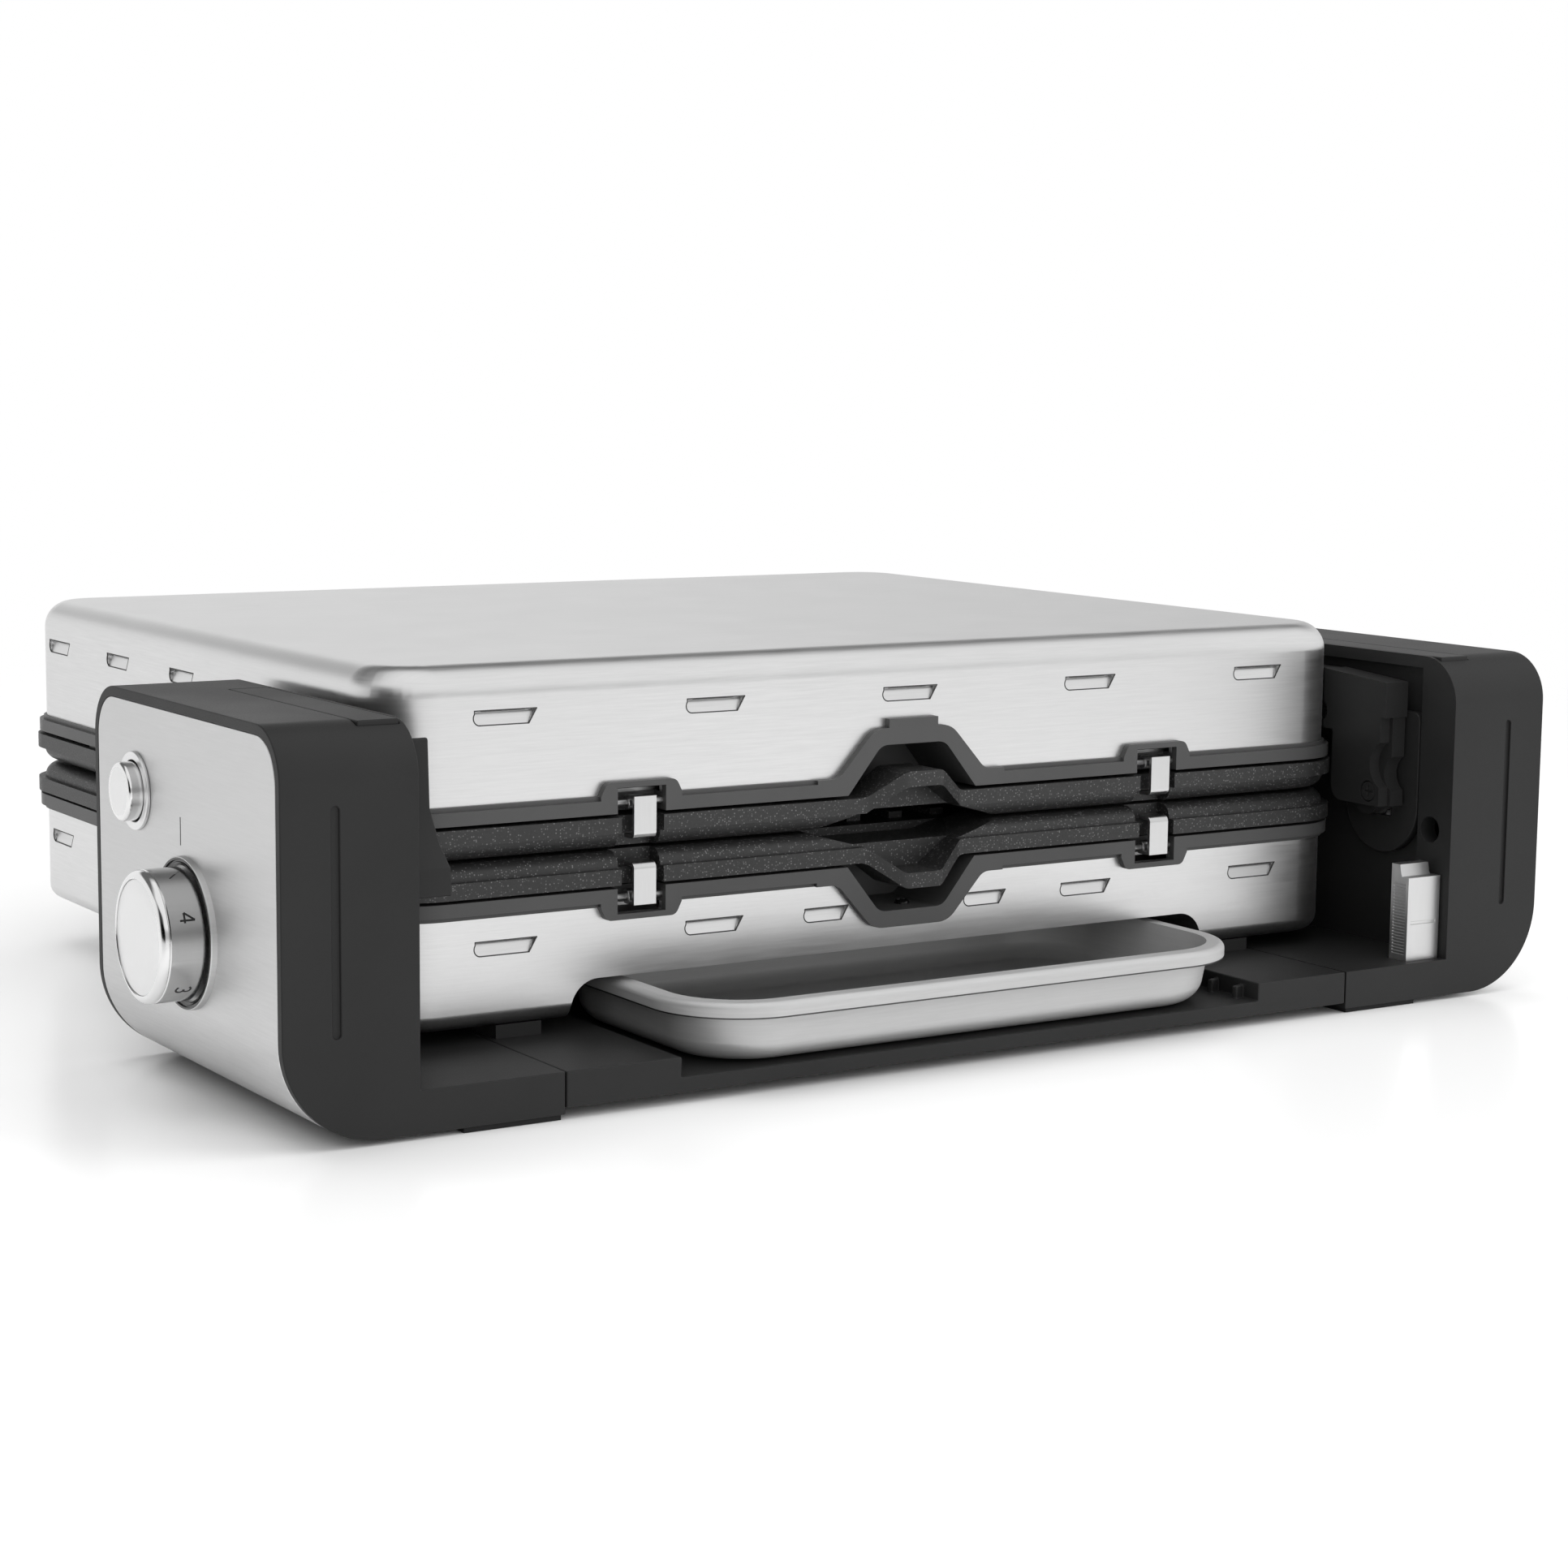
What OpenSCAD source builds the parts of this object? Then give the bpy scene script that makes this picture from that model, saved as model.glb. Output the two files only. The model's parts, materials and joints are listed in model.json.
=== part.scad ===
// Contact grill: two heated plates in stainless shells, a floating hinge between
// two pillars, a drip tray under the lower shell and clips that hold the plates.
// Millimetres, +Z up, +X along the width, the hinge side faces -Y.

/* [Shells] */
// Width of the lid and the lower shell
body_w = 356; // [336:2:380]
// Depth of the lid and the lower shell
body_d = 282; // [260:2:310]
// Distance from the pillar fronts to the shell fronts
body_front = 43; // [42:1:50]
// Plan corner radius of the shells
corner_r = 20; // [18:1:23]
// Edge radius of the lid top
edge_r = 9; // [6:1:11]
// Edge radius of the lower shell's underside
under_r = 5; // [4:0.5:8]
// Sheet thickness of the shells
shell_t = 1.5; // [1.2:0.1:2]
// Height of the lid shell above its rim
lid_h = 39.3; // [36:0.1:46]
// Height of the lower shell below its rim
lower_h = 32; // [30:0.5:36]
// Height of the lower shell's underside above the table
shell_base = 17.5; // [16:0.5:22]

/* [Rims and plates] */
// Height of each rim's band
rim_h = 5.2; // [4.8:0.1:6]
// How far the rims stand out past the shells
rim_out = 2.4; // [2:0.1:2.8]
// Width of a rim's ring inside the shell face
rim_in = 8; // [7.5:0.5:9]
// Height of each plate's edge band
band_h = 4.7; // [4.2:0.1:5.5]
// How far the plates stand out past the shells
plate_out = 3; // [2.8:0.1:3.4]
// Gap between a rim and its plate
plate_gap = 1; // [0.8:0.1:1.4]
// Gap between the edge bands of the two plates, lid closed
plate_space = 10.4; // [9.8:0.1:12]
// Number of grill ribs on each plate
rib_count = 19; // [11:2:21]
// Width of one grill rib
rib_w = 5; // [3:0.5:6]
// Height of one grill rib
rib_h = 2; // [1.4:0.1:2.4]

/* [Spouts and vents] */
// Half width of a rim's spout opening at the rim's edge
spout_half = 23.5; // [21:0.5:26]
// Height of a rim's spout opening
spout_rise = 14.6; // [13:0.1:16]
// Half width of a plate's spout lip
lip_half = 17.5; // [15:0.5:18]
// Distance from one front vent to the next
vent_pitch = 69; // [60:1:72]
// Height of a vent slot
vent_h = 4.2; // [3.6:0.1:5]
// Length of a vent slot
vent_len = 20; // [16:1:22]

/* [Pillars and base] */
// Width of each pillar
pillar_w = 39.5; // [38:0.5:44]
// Depth of each pillar
pillar_d = 133; // [124:1:150]
// Height of each pillar
pillar_h = 112; // [108:1:118]
// Gap between the shells and the pillars
side_gap = 7.5; // [7.5:0.1:10]
// Radius of each pillar's lower outer edge
pillar_low_r = 28; // [24:1:32]
// Radius of each pillar's upper front and back edge
pillar_top_r = 15; // [11:1:17]
// Thickness of the stainless side panels
panel_t = 1.2; // [0.8:0.1:1.6]
// Dark border left around a side panel
panel_edge = 3; // [2:0.5:5]
// Height of the feet and of the base plate
foot_h = 13.5; // [13:0.5:15]
// Length of each foot inward from its pillar
foot_reach = 43.5; // [40:0.5:48]
// Depth of the base plate
base_d = 300; // [270:2:320]

/* [Drip tray] */
// Width of the tray over its rim
tray_w = 203; // [191:2:211]
// Depth of the tray over its rim
tray_d = 106; // [96:2:150]
// Height of the tray's rim above the table
tray_top = 27; // [24:0.5:27.5]
// How far the tray's rim stands out past the pillar fronts
tray_front = 5; // [2:0.5:10]
// Sheet thickness of the tray
tray_t = 1; // [0.8:0.1:1.4]

/* [Hinge and handle] */
// Upward travel of the floating hinge
lift = 18; // [12:1:20]
// Radius of the hinge pins
pin_r = 3; // [2.5:0.1:3.2]
// Radial running gap of the hinge pins and shafts
run_gap = 0.06; // [0.03:0.01:0.1]
// Width of a hinge guide
guide_w = 34; // [30:0.5:36]
// Radius of the handle grip
grip_r = 9.5; // [8:0.5:11]
// Length of the handle grip
grip_len = 270; // [220:2:300]

/* [Controls] */
// Radius of the dial knob
knob_r = 18.4; // [16:0.2:20]
// How far the dial stands out from the side panel
dial_out = 14.6; // [12:0.2:18]
// Radius of the power button
button_r = 8.4; // [7:0.1:9.5]
// Travel of the power button
button_travel = 2.5; // [1.5:0.1:3]
// Travel of the stop latch
latch_travel = 6; // [4:0.5:6.5]

/* [Plate clips] */
// Distance of a clip from the middle
clip_x = 95; // [84:1:105]
// Width of a clip
clip_w = 7.5; // [6:0.5:9]
// Sheet thickness of a clip
clip_t = 1.2; // [1:0.1:1.4]
// Radius of a clip's pin
clip_pin_r = 1.1; // [1:0.05:1.2]

/* [Hidden] */
$fn = 64;
steel = [0.76, 0.76, 0.75];
dark = [0.13, 0.13, 0.14];
coat = [0.10, 0.10, 0.10];
bright = [0.88, 0.88, 0.88];
alloy = [0.62, 0.62, 0.60];
soft = [0.06, 0.06, 0.06];

body_half = body_w / 2;
body_back = body_front + body_d;
y_mid = body_front + body_d / 2;
xi = body_half + side_gap;
xo = xi + pillar_w;
foot_in = xi - foot_reach;
sole = 1.5;

rim_z = shell_base + lower_h;
plate_z = rim_z + rim_h + plate_gap;
band_top = plate_z + band_h;
parting = band_top + plate_space / 2;
lid_base = 2 * parting - rim_z;
lid_top = lid_base + lid_h;
crest = plate_space / 2 - 0.5;
rise = crest - rib_h - 0.2;
shoulder_out = 0.8;
lip_drop = 8;
lip_out = 6;
lip_foot = lip_half - 11;
hollow_in = 20;

// the lower spout drops from the rim's upper edge
spout_top = rim_z + rim_h;
spout_low = spout_top - spout_rise;
pocket_back = body_front + rim_in;
spout_back = body_front + 24;
spout_r = 5;
arc_steps = 5;
bump_w = 24;
bump_h = 4;
rim_step = 1.2;
bay_w = 16;
clip_pin_y = body_front + 0.6;
clip_pin_z = rim_z + 2.3;
clip_face = body_front - plate_out - 1.4;
clip_hook = band_top + 0.6;

pivot_y = body_front - 9.5;
pivot_z = parting - 2.1;
recess_d = 3.5;
wall = 3;
case_t = 4.2;
cap_front = 9;
cap_w = 12;
cap_len = 86;
cap_t = 2.5;
guide_t = 3.2;
guide_top = 29.5;
slot_w = 9.2;
block_h = 12;
wall_x = xi + recess_d;
cavity_x = wall_x + wall;

arm_out = xi - 1;
arm_in = body_half - 3;
arm_front = pivot_y - 12.3;
arm_back = pivot_y + 13;
arm_low = pivot_z - 1.8;
cover_low = pivot_z - 4.7;
block_low = pivot_z + 27.8;
arm_top = pivot_z + 39.5;
leaf_low = lid_base + 3.5;
leaf_end = body_front + 65;
cheek_end = body_front + 8.3;
arm_slope = 0.077;
cheek_t = 4.5;
screw_r = 1.5;
head_r = 3.2;
head_t = 1.3;

dial_y = 63.5;
dial_z = 49.2;
shaft_r = 3;
button_y = 100.5;
button_z = 84;
bezel_t = 1.5;

latch_x0 = xi - 14.5;
latch_x1 = xi - 0.6;
latch_y0 = 3.5;
latch_y1 = 11.5;
latch_top = 41;

channel_half = tray_w / 2 + 15.5;
channel_top = tray_top + 1.7;
recess_half = tray_w / 2 + 3.7;
recess_floor = 7.7;
base_low = 3.2;
pad_w = 29.5;
pad_d = 32;
pad_inset = 24;
base_half = foot_in - 0.4;
tongue_len = 24;
tongue_y = 30;
tongue_d = 80;
tongue_z = 5;
tongue_h = 4;
tray_low = recess_floor + 0.4;
flange = 4.6;
// height and edge radius of the tray's rim
roll_h = 4.2;
roll_r = 2;
rail_x0 = channel_half + 8;
rail_inset = 3;
rail_end = 6;
rail_x1 = base_half - 2;
heat_z = rim_z + 1;
heat_r = 3.2;
heat_inset = 55;
heat_end = 15;
heat_bend = 25;
refl_low = rim_z - 9.5;
refl_t = 1;
refl_in = 13;
refl_lip = 5;
refl_room = 7;
post_x = 80;
post_w = 6;

grip_y = body_back + 34;
grip_z = lid_base + 18;
bracket_x = grip_len / 2 - 28;

// puts the middle of the whole outline over the origin
home = [dial_out / 2, -(grip_y + grip_r - tray_front) / 2, 0];

// plan outline of the shells, grown by o
module plan(o) {
    w = body_w + 2 * o;
    d = body_d + 2 * o;
    c = max(corner_r + o, 2);
    translate([-w / 2 + c, y_mid - d / 2]) square([w - 2 * c, d]);
    translate([-w / 2, y_mid - d / 2 + c]) square([w, d - 2 * c]);
    for (x = [-1, 1], y = [-1, 1])
        translate([x * (w / 2 - c), y_mid + y * (d / 2 - c)]) circle(c);
}

// wall section of a pan: outer edge at c, upper outer edge rounded
module edge_profile(c, h, e) {
    difference() {
        square([c, h]);
        difference() {
            translate([c - e, h - e]) square(e + 1);
            translate([c - e, h - e]) circle(e);
        }
    }
}

// solid block with rounded plan corners and a rounded upper edge
module pan(w, d, h, c, e) {
    a = w / 2 - c;
    b = d / 2 - c;
    translate([-a, -b, 0]) cube([2 * a, 2 * b, h]);
    for (m = [0, 1]) {
        mirror([0, m, 0])
            translate([-a, b, 0]) rotate([90, 0, 90])
                linear_extrude(2 * a) edge_profile(c, h, e);
        mirror([m, 0, 0])
            translate([a, b, 0]) rotate([90, 0, 0])
                linear_extrude(2 * b) edge_profile(c, h, e);
    }
    for (q = [0:3])
        translate([(q == 0 || q == 3) ? a : -a, q < 2 ? b : -b, 0])
            rotate([0, 0, 90 * q]) rotate_extrude(angle = 90) edge_profile(c, h, e);
}

// a drawing in X and Z, extruded from y0 to y1
module along_y(y0, y1) {
    translate([0, y1, 0]) rotate([90, 0, 0]) linear_extrude(y1 - y0) children();
}

// a drawing in Y and Z, extruded from x0 to x1
module along_x(x0, x1) {
    translate([x0, 0, 0]) rotate([90, 0, 90]) linear_extrude(x1 - x0) children();
}

// a round bar along X
module rod(x0, x1, y, z, r) {
    translate([x0, y, z]) rotate([0, 90, 0]) cylinder(h = x1 - x0, r = r);
}

// the right half's shape, on either side
module on_side(s) {
    mirror([s < 0 ? 1 : 0, 0, 0]) children();
}

// the lower half's shape turned over for the lid
module turned() {
    translate([0, 0, 2 * parting]) mirror([0, 0, 1]) children();
}

// slot with a left end that is round below and a slanted right end
module vent_shape(l, h) {
    r = h / 2;
    translate([-l / 2 + r, 0]) circle(r);
    translate([-l / 2 + r / 6, 0]) square([r, r]);
    polygon([[-l / 2 + r, -r], [l / 2 - 2.5, -r], [l / 2, r], [-l / 2 + r, r]]);
}

// slot with a step all round, whose floor slants in to a slit along its upper edge
module vent_cut(l) {
    r = vent_h / 2;
    slant = (shell_t + vent_deep - vent_step) / vent_h;
    intersection() {
        along_y(-1, shell_t + vent_deep) vent_shape(l, vent_h);
        along_x(-l, l) polygon([
            [-2, -r - 1], [vent_step - slant, -r - 1],
            [vent_step + slant * (vent_h + 1), r + 1], [-2, r + 1]
        ]);
    }
    translate([0, 0, r - vent_slit / 2]) along_y(-1, shell_t + vent_deep + 2)
        square([l - 6, vent_slit], center = true);
}

// sheet pressed inward behind the slot
module vent_back(l) {
    along_y(shell_t - 0.3, shell_t + vent_deep + 0.9) vent_shape(l + 2, vent_h + 2);
}

// vent places on the front wall
module at_front(z, front_x) {
    for (x = front_x) translate([x, body_front, z]) children();
}

// vent places on the back and the sides
module at_rest(z) {
    for (i = [-2:2])
        translate([i * vent_pitch, body_back, z]) rotate([0, 0, 180]) children();
    for (s = [-1, 1], i = [-1:2])
        translate([s * body_half, y_mid + i * 55, z]) rotate([0, 0, s * 90]) children();
}

vent_deep = 0.3;
vent_slit = 0.5;
vent_step = 0.35;
lid_vent_x = [for (i = [-2:2]) i * vent_pitch];
low_vent_x = [for (i = [-2, -1, 1, 2]) i * vent_pitch];
short_vent_x = [-29.5, 29.5];
short_len = 0.8 * vent_len;
lid_vent_z = lid_top - 14.8;
low_vent_z = rim_z - 8.9;

// points of an outline whose corners [x, y, r] are rounded by their r
function rounded(p) = [
    for (i = [0:len(p) - 1])
        let (
            n = len(p),
            at = [p[i][0], p[i][1]],
            back = [p[(i + n - 1) % n][0], p[(i + n - 1) % n][1]] - at,
            next = [p[(i + 1) % n][0], p[(i + 1) % n][1]] - at,
            u = back / norm(back),
            v = next / norm(next),
            half = acos(u * v) / 2
        )
        each p[i][2] == 0 ? [at] : corner_arc(at, u, v, half, p[i][2])
];

// arc of radius r in the corner at, between the directions u and v
function corner_arc(at, u, v, half, r) =
    let (
        mid = at + (u + v) / norm(u + v) * r / sin(half),
        first = at + u * r / tan(half) - mid,
        last = at + v * r / tan(half) - mid,
        a = atan2(first[1], first[0]),
        turn = (atan2(last[1], last[0]) - a + 540) % 360 - 180
    )
    [for (k = [0:arc_steps]) mid + r * [cos(a + turn * k / arc_steps), sin(a + turn * k / arc_steps)]];

// outline from half widths, heights and corner radii, listed from its upper edge down
module even_shape(p) {
    n = len(p);
    polygon(rounded(concat(p, [for (i = [1:n]) [-p[n - i][0], p[n - i][1], p[n - i][2]]])));
}

spout_foot = spout_half - 11.8;
spout_open = [
    [spout_half, spout_top + 1, 0], [spout_half, spout_top, 0], [spout_foot, spout_low, spout_r]
];
spout_box = [
    [spout_half + 2, spout_top, 0], [spout_foot + 2.4, spout_low - 2, spout_r + 1]
];
spout_lip = [
    [spout_half + 11, spout_top, 0], [spout_half + 11, rim_z, 0],
    [spout_half + 3.5, rim_z, spout_r], [spout_foot + 2.2, spout_low - 5.1, spout_r + 3]
];

// room for the spout's box and the clips in the lower shell's front wall
module front_cuts() {
    along_y(body_front - 1, body_front + 6) even_shape(spout_box);
    for (s = [-1, 1])
        translate([s * clip_x - bay_w / 2, body_front - 1, clip_pin_z - 4.6])
            cube([bay_w, shell_t + 2, 10]);
}

module lid_shell() {
    color(steel)
        difference() {
            union() {
                difference() {
                    translate([0, y_mid, lid_base]) pan(body_w, body_d, lid_h, corner_r, edge_r);
                    translate([0, y_mid, lid_base - 1])
                        pan(body_w - 2 * shell_t, body_d - 2 * shell_t, lid_h - shell_t + 1,
                            corner_r - shell_t, edge_r - shell_t);
                }
                at_front(lid_vent_z, lid_vent_x) vent_back(vent_len);
                at_rest(lid_vent_z) vent_back(vent_len);
            }
            turned() front_cuts();
            at_front(lid_vent_z, lid_vent_x) vent_cut(vent_len);
            at_rest(lid_vent_z) vent_cut(vent_len);
        }
}

// tunnel for the tray, grown by o
module channel_shape(o) {
    r = 9 + o;
    c = channel_half + o;
    t = channel_top + o;
    difference() {
        translate([-c, shell_base - 5]) square([2 * c, t - shell_base + 5]);
        for (s = [-1, 1])
            difference() {
                translate([s * (c - r / 2 + 0.5), t - r / 2 + 0.5]) square(r + 1, center = true);
                translate([s * (c - r), t - r]) circle(r);
            }
    }
}

module lower_shell() {
    end = tray_d + 28;
    color(steel)
        difference() {
            union() {
                difference() {
                    translate([0, y_mid, rim_z]) mirror([0, 0, 1])
                        pan(body_w, body_d, lower_h, corner_r, under_r);
                    along_y(0, end) channel_shape(0);
                    difference() {
                        translate([0, y_mid, rim_z + 1]) mirror([0, 0, 1])
                            pan(body_w - 2 * shell_t, body_d - 2 * shell_t, lower_h - shell_t + 1,
                                corner_r - shell_t, under_r - shell_t);
                        along_y(-1, end + shell_t) channel_shape(shell_t);
                    }
                }
                at_front(low_vent_z, low_vent_x) vent_back(vent_len);
                at_front(low_vent_z, short_vent_x) vent_back(short_len);
                at_rest(low_vent_z) vent_back(vent_len);
            }
            front_cuts();
            at_front(low_vent_z, low_vent_x) vent_cut(vent_len);
            at_front(low_vent_z, short_vent_x) vent_cut(short_len);
            at_rest(low_vent_z) vent_cut(vent_len);
        }
}

// the lower rim; turned over it is the upper one
module rim_form() {
    difference() {
        union() {
            translate([0, 0, rim_z + rim_step]) linear_extrude(rim_h - rim_step)
                difference() {
                    plan(rim_out);
                    plan(-rim_in);
                }
            translate([0, 0, rim_z]) linear_extrude(rim_step)
                difference() {
                    plan(rim_out - 1.4);
                    plan(-rim_in);
                }
            for (s = [-1, 1])
                translate([s * clip_x, 0, rim_z]) along_y(body_front - rim_out, body_front)
                    even_shape([
                        [bump_w / 2 + 1.5, rim_step + 1, 0], [bump_w / 2 + 1.5, 0, 0],
                        [bump_w / 2 - 0.5, -bump_h, 2.5]
                    ]);
            along_y(body_front - rim_out, body_front) even_shape(spout_lip);
            along_y(body_front - 0.5, spout_back + 2) even_shape(spout_box);
        }
        along_y(0, spout_back) even_shape(spout_open);
        for (s = [-1, 1]) {
            translate([s * clip_x - bay_w / 2, 0, clip_pin_z - 4.6])
                cube([bay_w, body_front + 4.4, 20]);
            rod(s * clip_x - bay_w / 2 - 2, s * clip_x + bay_w / 2 + 2,
                clip_pin_y, clip_pin_z, clip_pin_r);
        }
    }
}

module lower_rim() {
    color(dark) rim_form();
}

module upper_rim() {
    color(dark) {
        turned() rim_form();
        // small lip over the spout
        translate([-9, body_front - rim_out, 2 * parting - spout_low + 4.6])
            cube([18, rim_out, 3.2]);
    }
}

// a plate's spout lip: its upper face, lowered by o, between it and the height top
module lip_shape() {
    even_shape([
        [lip_half + 8, band_top, 0], [lip_half + 8, plate_z, 0],
        [lip_half, plate_z, 6], [lip_foot, plate_z - lip_drop, 4.5]
    ]);
}

// plan of the spout lip, which stands out like a beak
module lip_plan() {
    front = body_front - plate_out;
    even_shape([
        [lip_half + 8, pocket_back - 0.5, 0], [lip_half + 8, front, 0],
        [lip_half, front, 6], [lip_foot, front - lip_out, 4]
    ]);
}

// way through the shoulder down to the spout lip
channel_side = [
    [lip_half + 24, band_top + crest + 3, 0], [lip_half + 15, band_top + crest - 0.6, 12]
];
module channel_cut() {
    even_shape(concat(channel_side, [[lip_half, band_top, 4]]));
}

module pour_cut() {
    even_shape(concat(channel_side, [[lip_half, band_top, 6], [lip_foot, band_top - lip_drop, 4.5]]));
}

// the lower grill plate; turned over it is the upper one
module plate_form() {
    pitch = (body_w - 70) / (rib_count - 1);
    wide = 2 * shoulder_out;
    difference() {
        union() {
            translate([0, 0, plate_z]) linear_extrude(band_h) plan(plate_out);
            difference() {
                translate([0, y_mid, band_top - 0.5])
                    pan(body_w + wide, body_d + wide, crest + 0.5, corner_r + shoulder_out, crest);
                translate([0, y_mid, band_top + crest + 1]) mirror([0, 0, 1])
                    pan(body_w - 2 * hollow_in, body_d - 2 * hollow_in, crest + 1 - rise, 14, 1.6);
            }
            for (i = [0:rib_count - 1])
                translate([-(body_w - 70) / 2 + i * pitch - rib_w / 2, body_front + 30,
                           band_top + rise - 0.5])
                    cube([rib_w, body_d - 60, rib_h + 0.5]);
            intersection() {
                along_y(body_front - plate_out - lip_out - 1, pocket_back) lip_shape();
                translate([0, 0, plate_z - lip_drop - 1])
                    linear_extrude(band_h + lip_drop + 2) lip_plan();
            }
            for (s = [-1, 1], t = [-1, 1])
                translate([s * (body_half - 4) - 5, y_mid + t * 70 - 10, rim_z + rim_h])
                    cube([8, 20, plate_gap + 1]);
        }
        along_y(0, pocket_back - 3.5) pour_cut();
        along_y(0, body_front + hollow_in + 3) channel_cut();
        for (s = [-1, 1]) {
            translate([s * clip_x - bay_w / 2 + 1, 0, plate_z - 1])
                cube([bay_w - 2, body_front + 0.5, band_h + 20]);
            translate([s * clip_x - bay_w / 2 + 1, 0, band_top])
                cube([bay_w - 2, body_front + 5.5, 20]);
        }
    }
}

module lower_plate() {
    color(coat) plate_form();
}

module upper_plate() {
    color(coat) turned() plate_form();
}

// tube in three straight runs with round corners
module heater_form() {
    c = heat_bend;
    x0 = body_half - heat_inset + 10;
    half = body_d / 2 - heat_inset;
    translate([0, y_mid, heat_z]) {
        for (s = [-1, 1]) {
            translate([-x0 + heat_end, s * half, 0]) rotate([0, 90, 0])
                cylinder(h = 2 * x0 - heat_end - c, r = heat_r);
            translate([x0 - c, s * (half - c), 0])
                rotate([0, 0, s > 0 ? 0 : -90]) rotate_extrude(angle = 90)
                    translate([c, 0]) circle(heat_r);
        }
        translate([x0, half - c, 0]) rotate([90, 0, 0]) cylinder(h = 2 * (half - c), r = heat_r);
    }
}

module lower_heater() {
    color(alloy) heater_form();
}

module upper_heater() {
    color(alloy) turned() heater_form();
}

// sheet dish under the heating tube, hung from the rim's ring
module reflector_form() {
    half = body_d / 2 - heat_inset;
    tall = rim_z - refl_low;
    difference() {
        union() {
            translate([0, 0, refl_low]) linear_extrude(tall) plan(-refl_in);
            translate([0, 0, rim_z - refl_t]) linear_extrude(refl_t) plan(-refl_lip);
        }
        translate([0, 0, refl_low + refl_t]) linear_extrude(tall) plan(-refl_in - refl_t);
        translate([-spout_half - refl_room, 0, refl_low - 1])
            cube([2 * (spout_half + refl_room), spout_back + refl_room / 2, tall + 2]);
    }
    for (x = [-post_x, post_x], s = [-1, 1])
        translate([x - post_w / 2, y_mid + s * half - post_w, refl_low + refl_t / 2])
            cube([post_w, 2 * post_w, heat_z - heat_r - refl_low - refl_t / 2]);
}

module lower_reflector() {
    color(alloy) reflector_form();
}

module upper_reflector() {
    color(alloy) turned() reflector_form();
}

module clip_pin_form(s) {
    rod(s * clip_x - bay_w / 2 - 2, s * clip_x + bay_w / 2 + 2, clip_pin_y, clip_pin_z, clip_pin_r);
}

module lower_pin_left() {
    color(bright) clip_pin_form(-1);
}

module lower_pin_right() {
    color(bright) clip_pin_form(1);
}

module upper_pin_left() {
    color(bright) turned() clip_pin_form(-1);
}

module upper_pin_right() {
    color(bright) turned() clip_pin_form(1);
}

// bent strip: eye on the pin, flat front, hook over the plate
module clip_form(s) {
    eye = clip_pin_r + 1;
    x0 = s * clip_x - clip_w / 2;
    difference() {
        along_x(x0, x0 + clip_w)
            difference() {
                union() {
                    translate([clip_pin_y, clip_pin_z]) circle(eye);
                    translate([clip_face, clip_pin_z - eye])
                        square([clip_pin_y - clip_face, clip_t]);
                    translate([clip_face, clip_pin_z - eye])
                        square([clip_t, clip_hook + clip_t - clip_pin_z + eye]);
                    translate([clip_face, clip_hook])
                        square([clip_pin_y + 1 - clip_face, clip_t]);
                }
                translate([clip_face, clip_hook + clip_t - 2])
                    difference() {
                        translate([-1, 0]) square([3, 3]);
                        translate([2, 0]) circle(2);
                    }
            }
        rod(x0 - 1, x0 + clip_w + 1, clip_pin_y, clip_pin_z, clip_pin_r + run_gap);
    }
}

module clip_lower_left() {
    color(bright) clip_form(-1);
}

module clip_lower_right() {
    color(bright) clip_form(1);
}

module clip_upper_left() {
    color(bright) turned() clip_form(-1);
}

module clip_upper_right() {
    color(bright) turned() clip_form(1);
}

// front view of the right pillar, shrunk by o
module pillar_front(o) {
    difference() {
        translate([xi + o, sole + o]) square([pillar_w - 2 * o, pillar_h - sole - 2 * o]);
        difference() {
            translate([xo - pillar_low_r, sole - 1]) square(pillar_low_r + 1);
            translate([xo - pillar_low_r, sole + pillar_low_r]) circle(pillar_low_r - o);
        }
    }
}

// side view of a pillar, shrunk by o
module pillar_side(o) {
    r = pillar_top_r;
    difference() {
        translate([o, sole + o]) square([pillar_d - 2 * o, pillar_h - sole - 2 * o]);
        difference() {
            translate([-1, pillar_h - r]) square(r + 1);
            translate([r, pillar_h - r]) circle(r - o);
        }
        difference() {
            translate([pillar_d - r, pillar_h - r]) square(r + 1);
            translate([pillar_d - r, pillar_h - r]) circle(r - o);
        }
    }
}

module pillar_block(o) {
    intersection() {
        along_y(0, pillar_d) pillar_front(o);
        along_x(xi - 1, xo + 1) pillar_side(o);
    }
}

// sheet let into the pillar's outer face and round its lower edge
module panel_form() {
    intersection() {
        along_y(panel_edge, pillar_d - panel_edge)
            intersection() {
                difference() {
                    pillar_front(0);
                    pillar_front(panel_t);
                }
                union() {
                    translate([xo - pillar_low_r + 2, sole]) square(pillar_low_r);
                    translate([xo - panel_t - 0.5, sole + pillar_low_r - 5])
                        square([5, pillar_h]);
                }
            }
        along_x(xi, xo + 1) pillar_side(panel_edge);
    }
}

// space behind the hinge wall
module cavity_form() {
    intersection() {
        pillar_block(case_t);
        translate([cavity_x, 0, foot_h + wall]) cube([pillar_w, pillar_d, pillar_h]);
    }
}

module cap_form(g) {
    translate([xi + 1.5 - g, cap_front - g, pillar_h - cap_t])
        cube([cap_w + 2 * g, cap_len + 2 * g, cap_t + g]);
}

// rubber pad: k 0 front, 1 back
module pad_form(k) {
    translate([foot_in + 1, k == 0 ? 0.8 : pillar_d - pad_d - 2, 0]) cube([pad_w, pad_d, sole + 1]);
}

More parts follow.
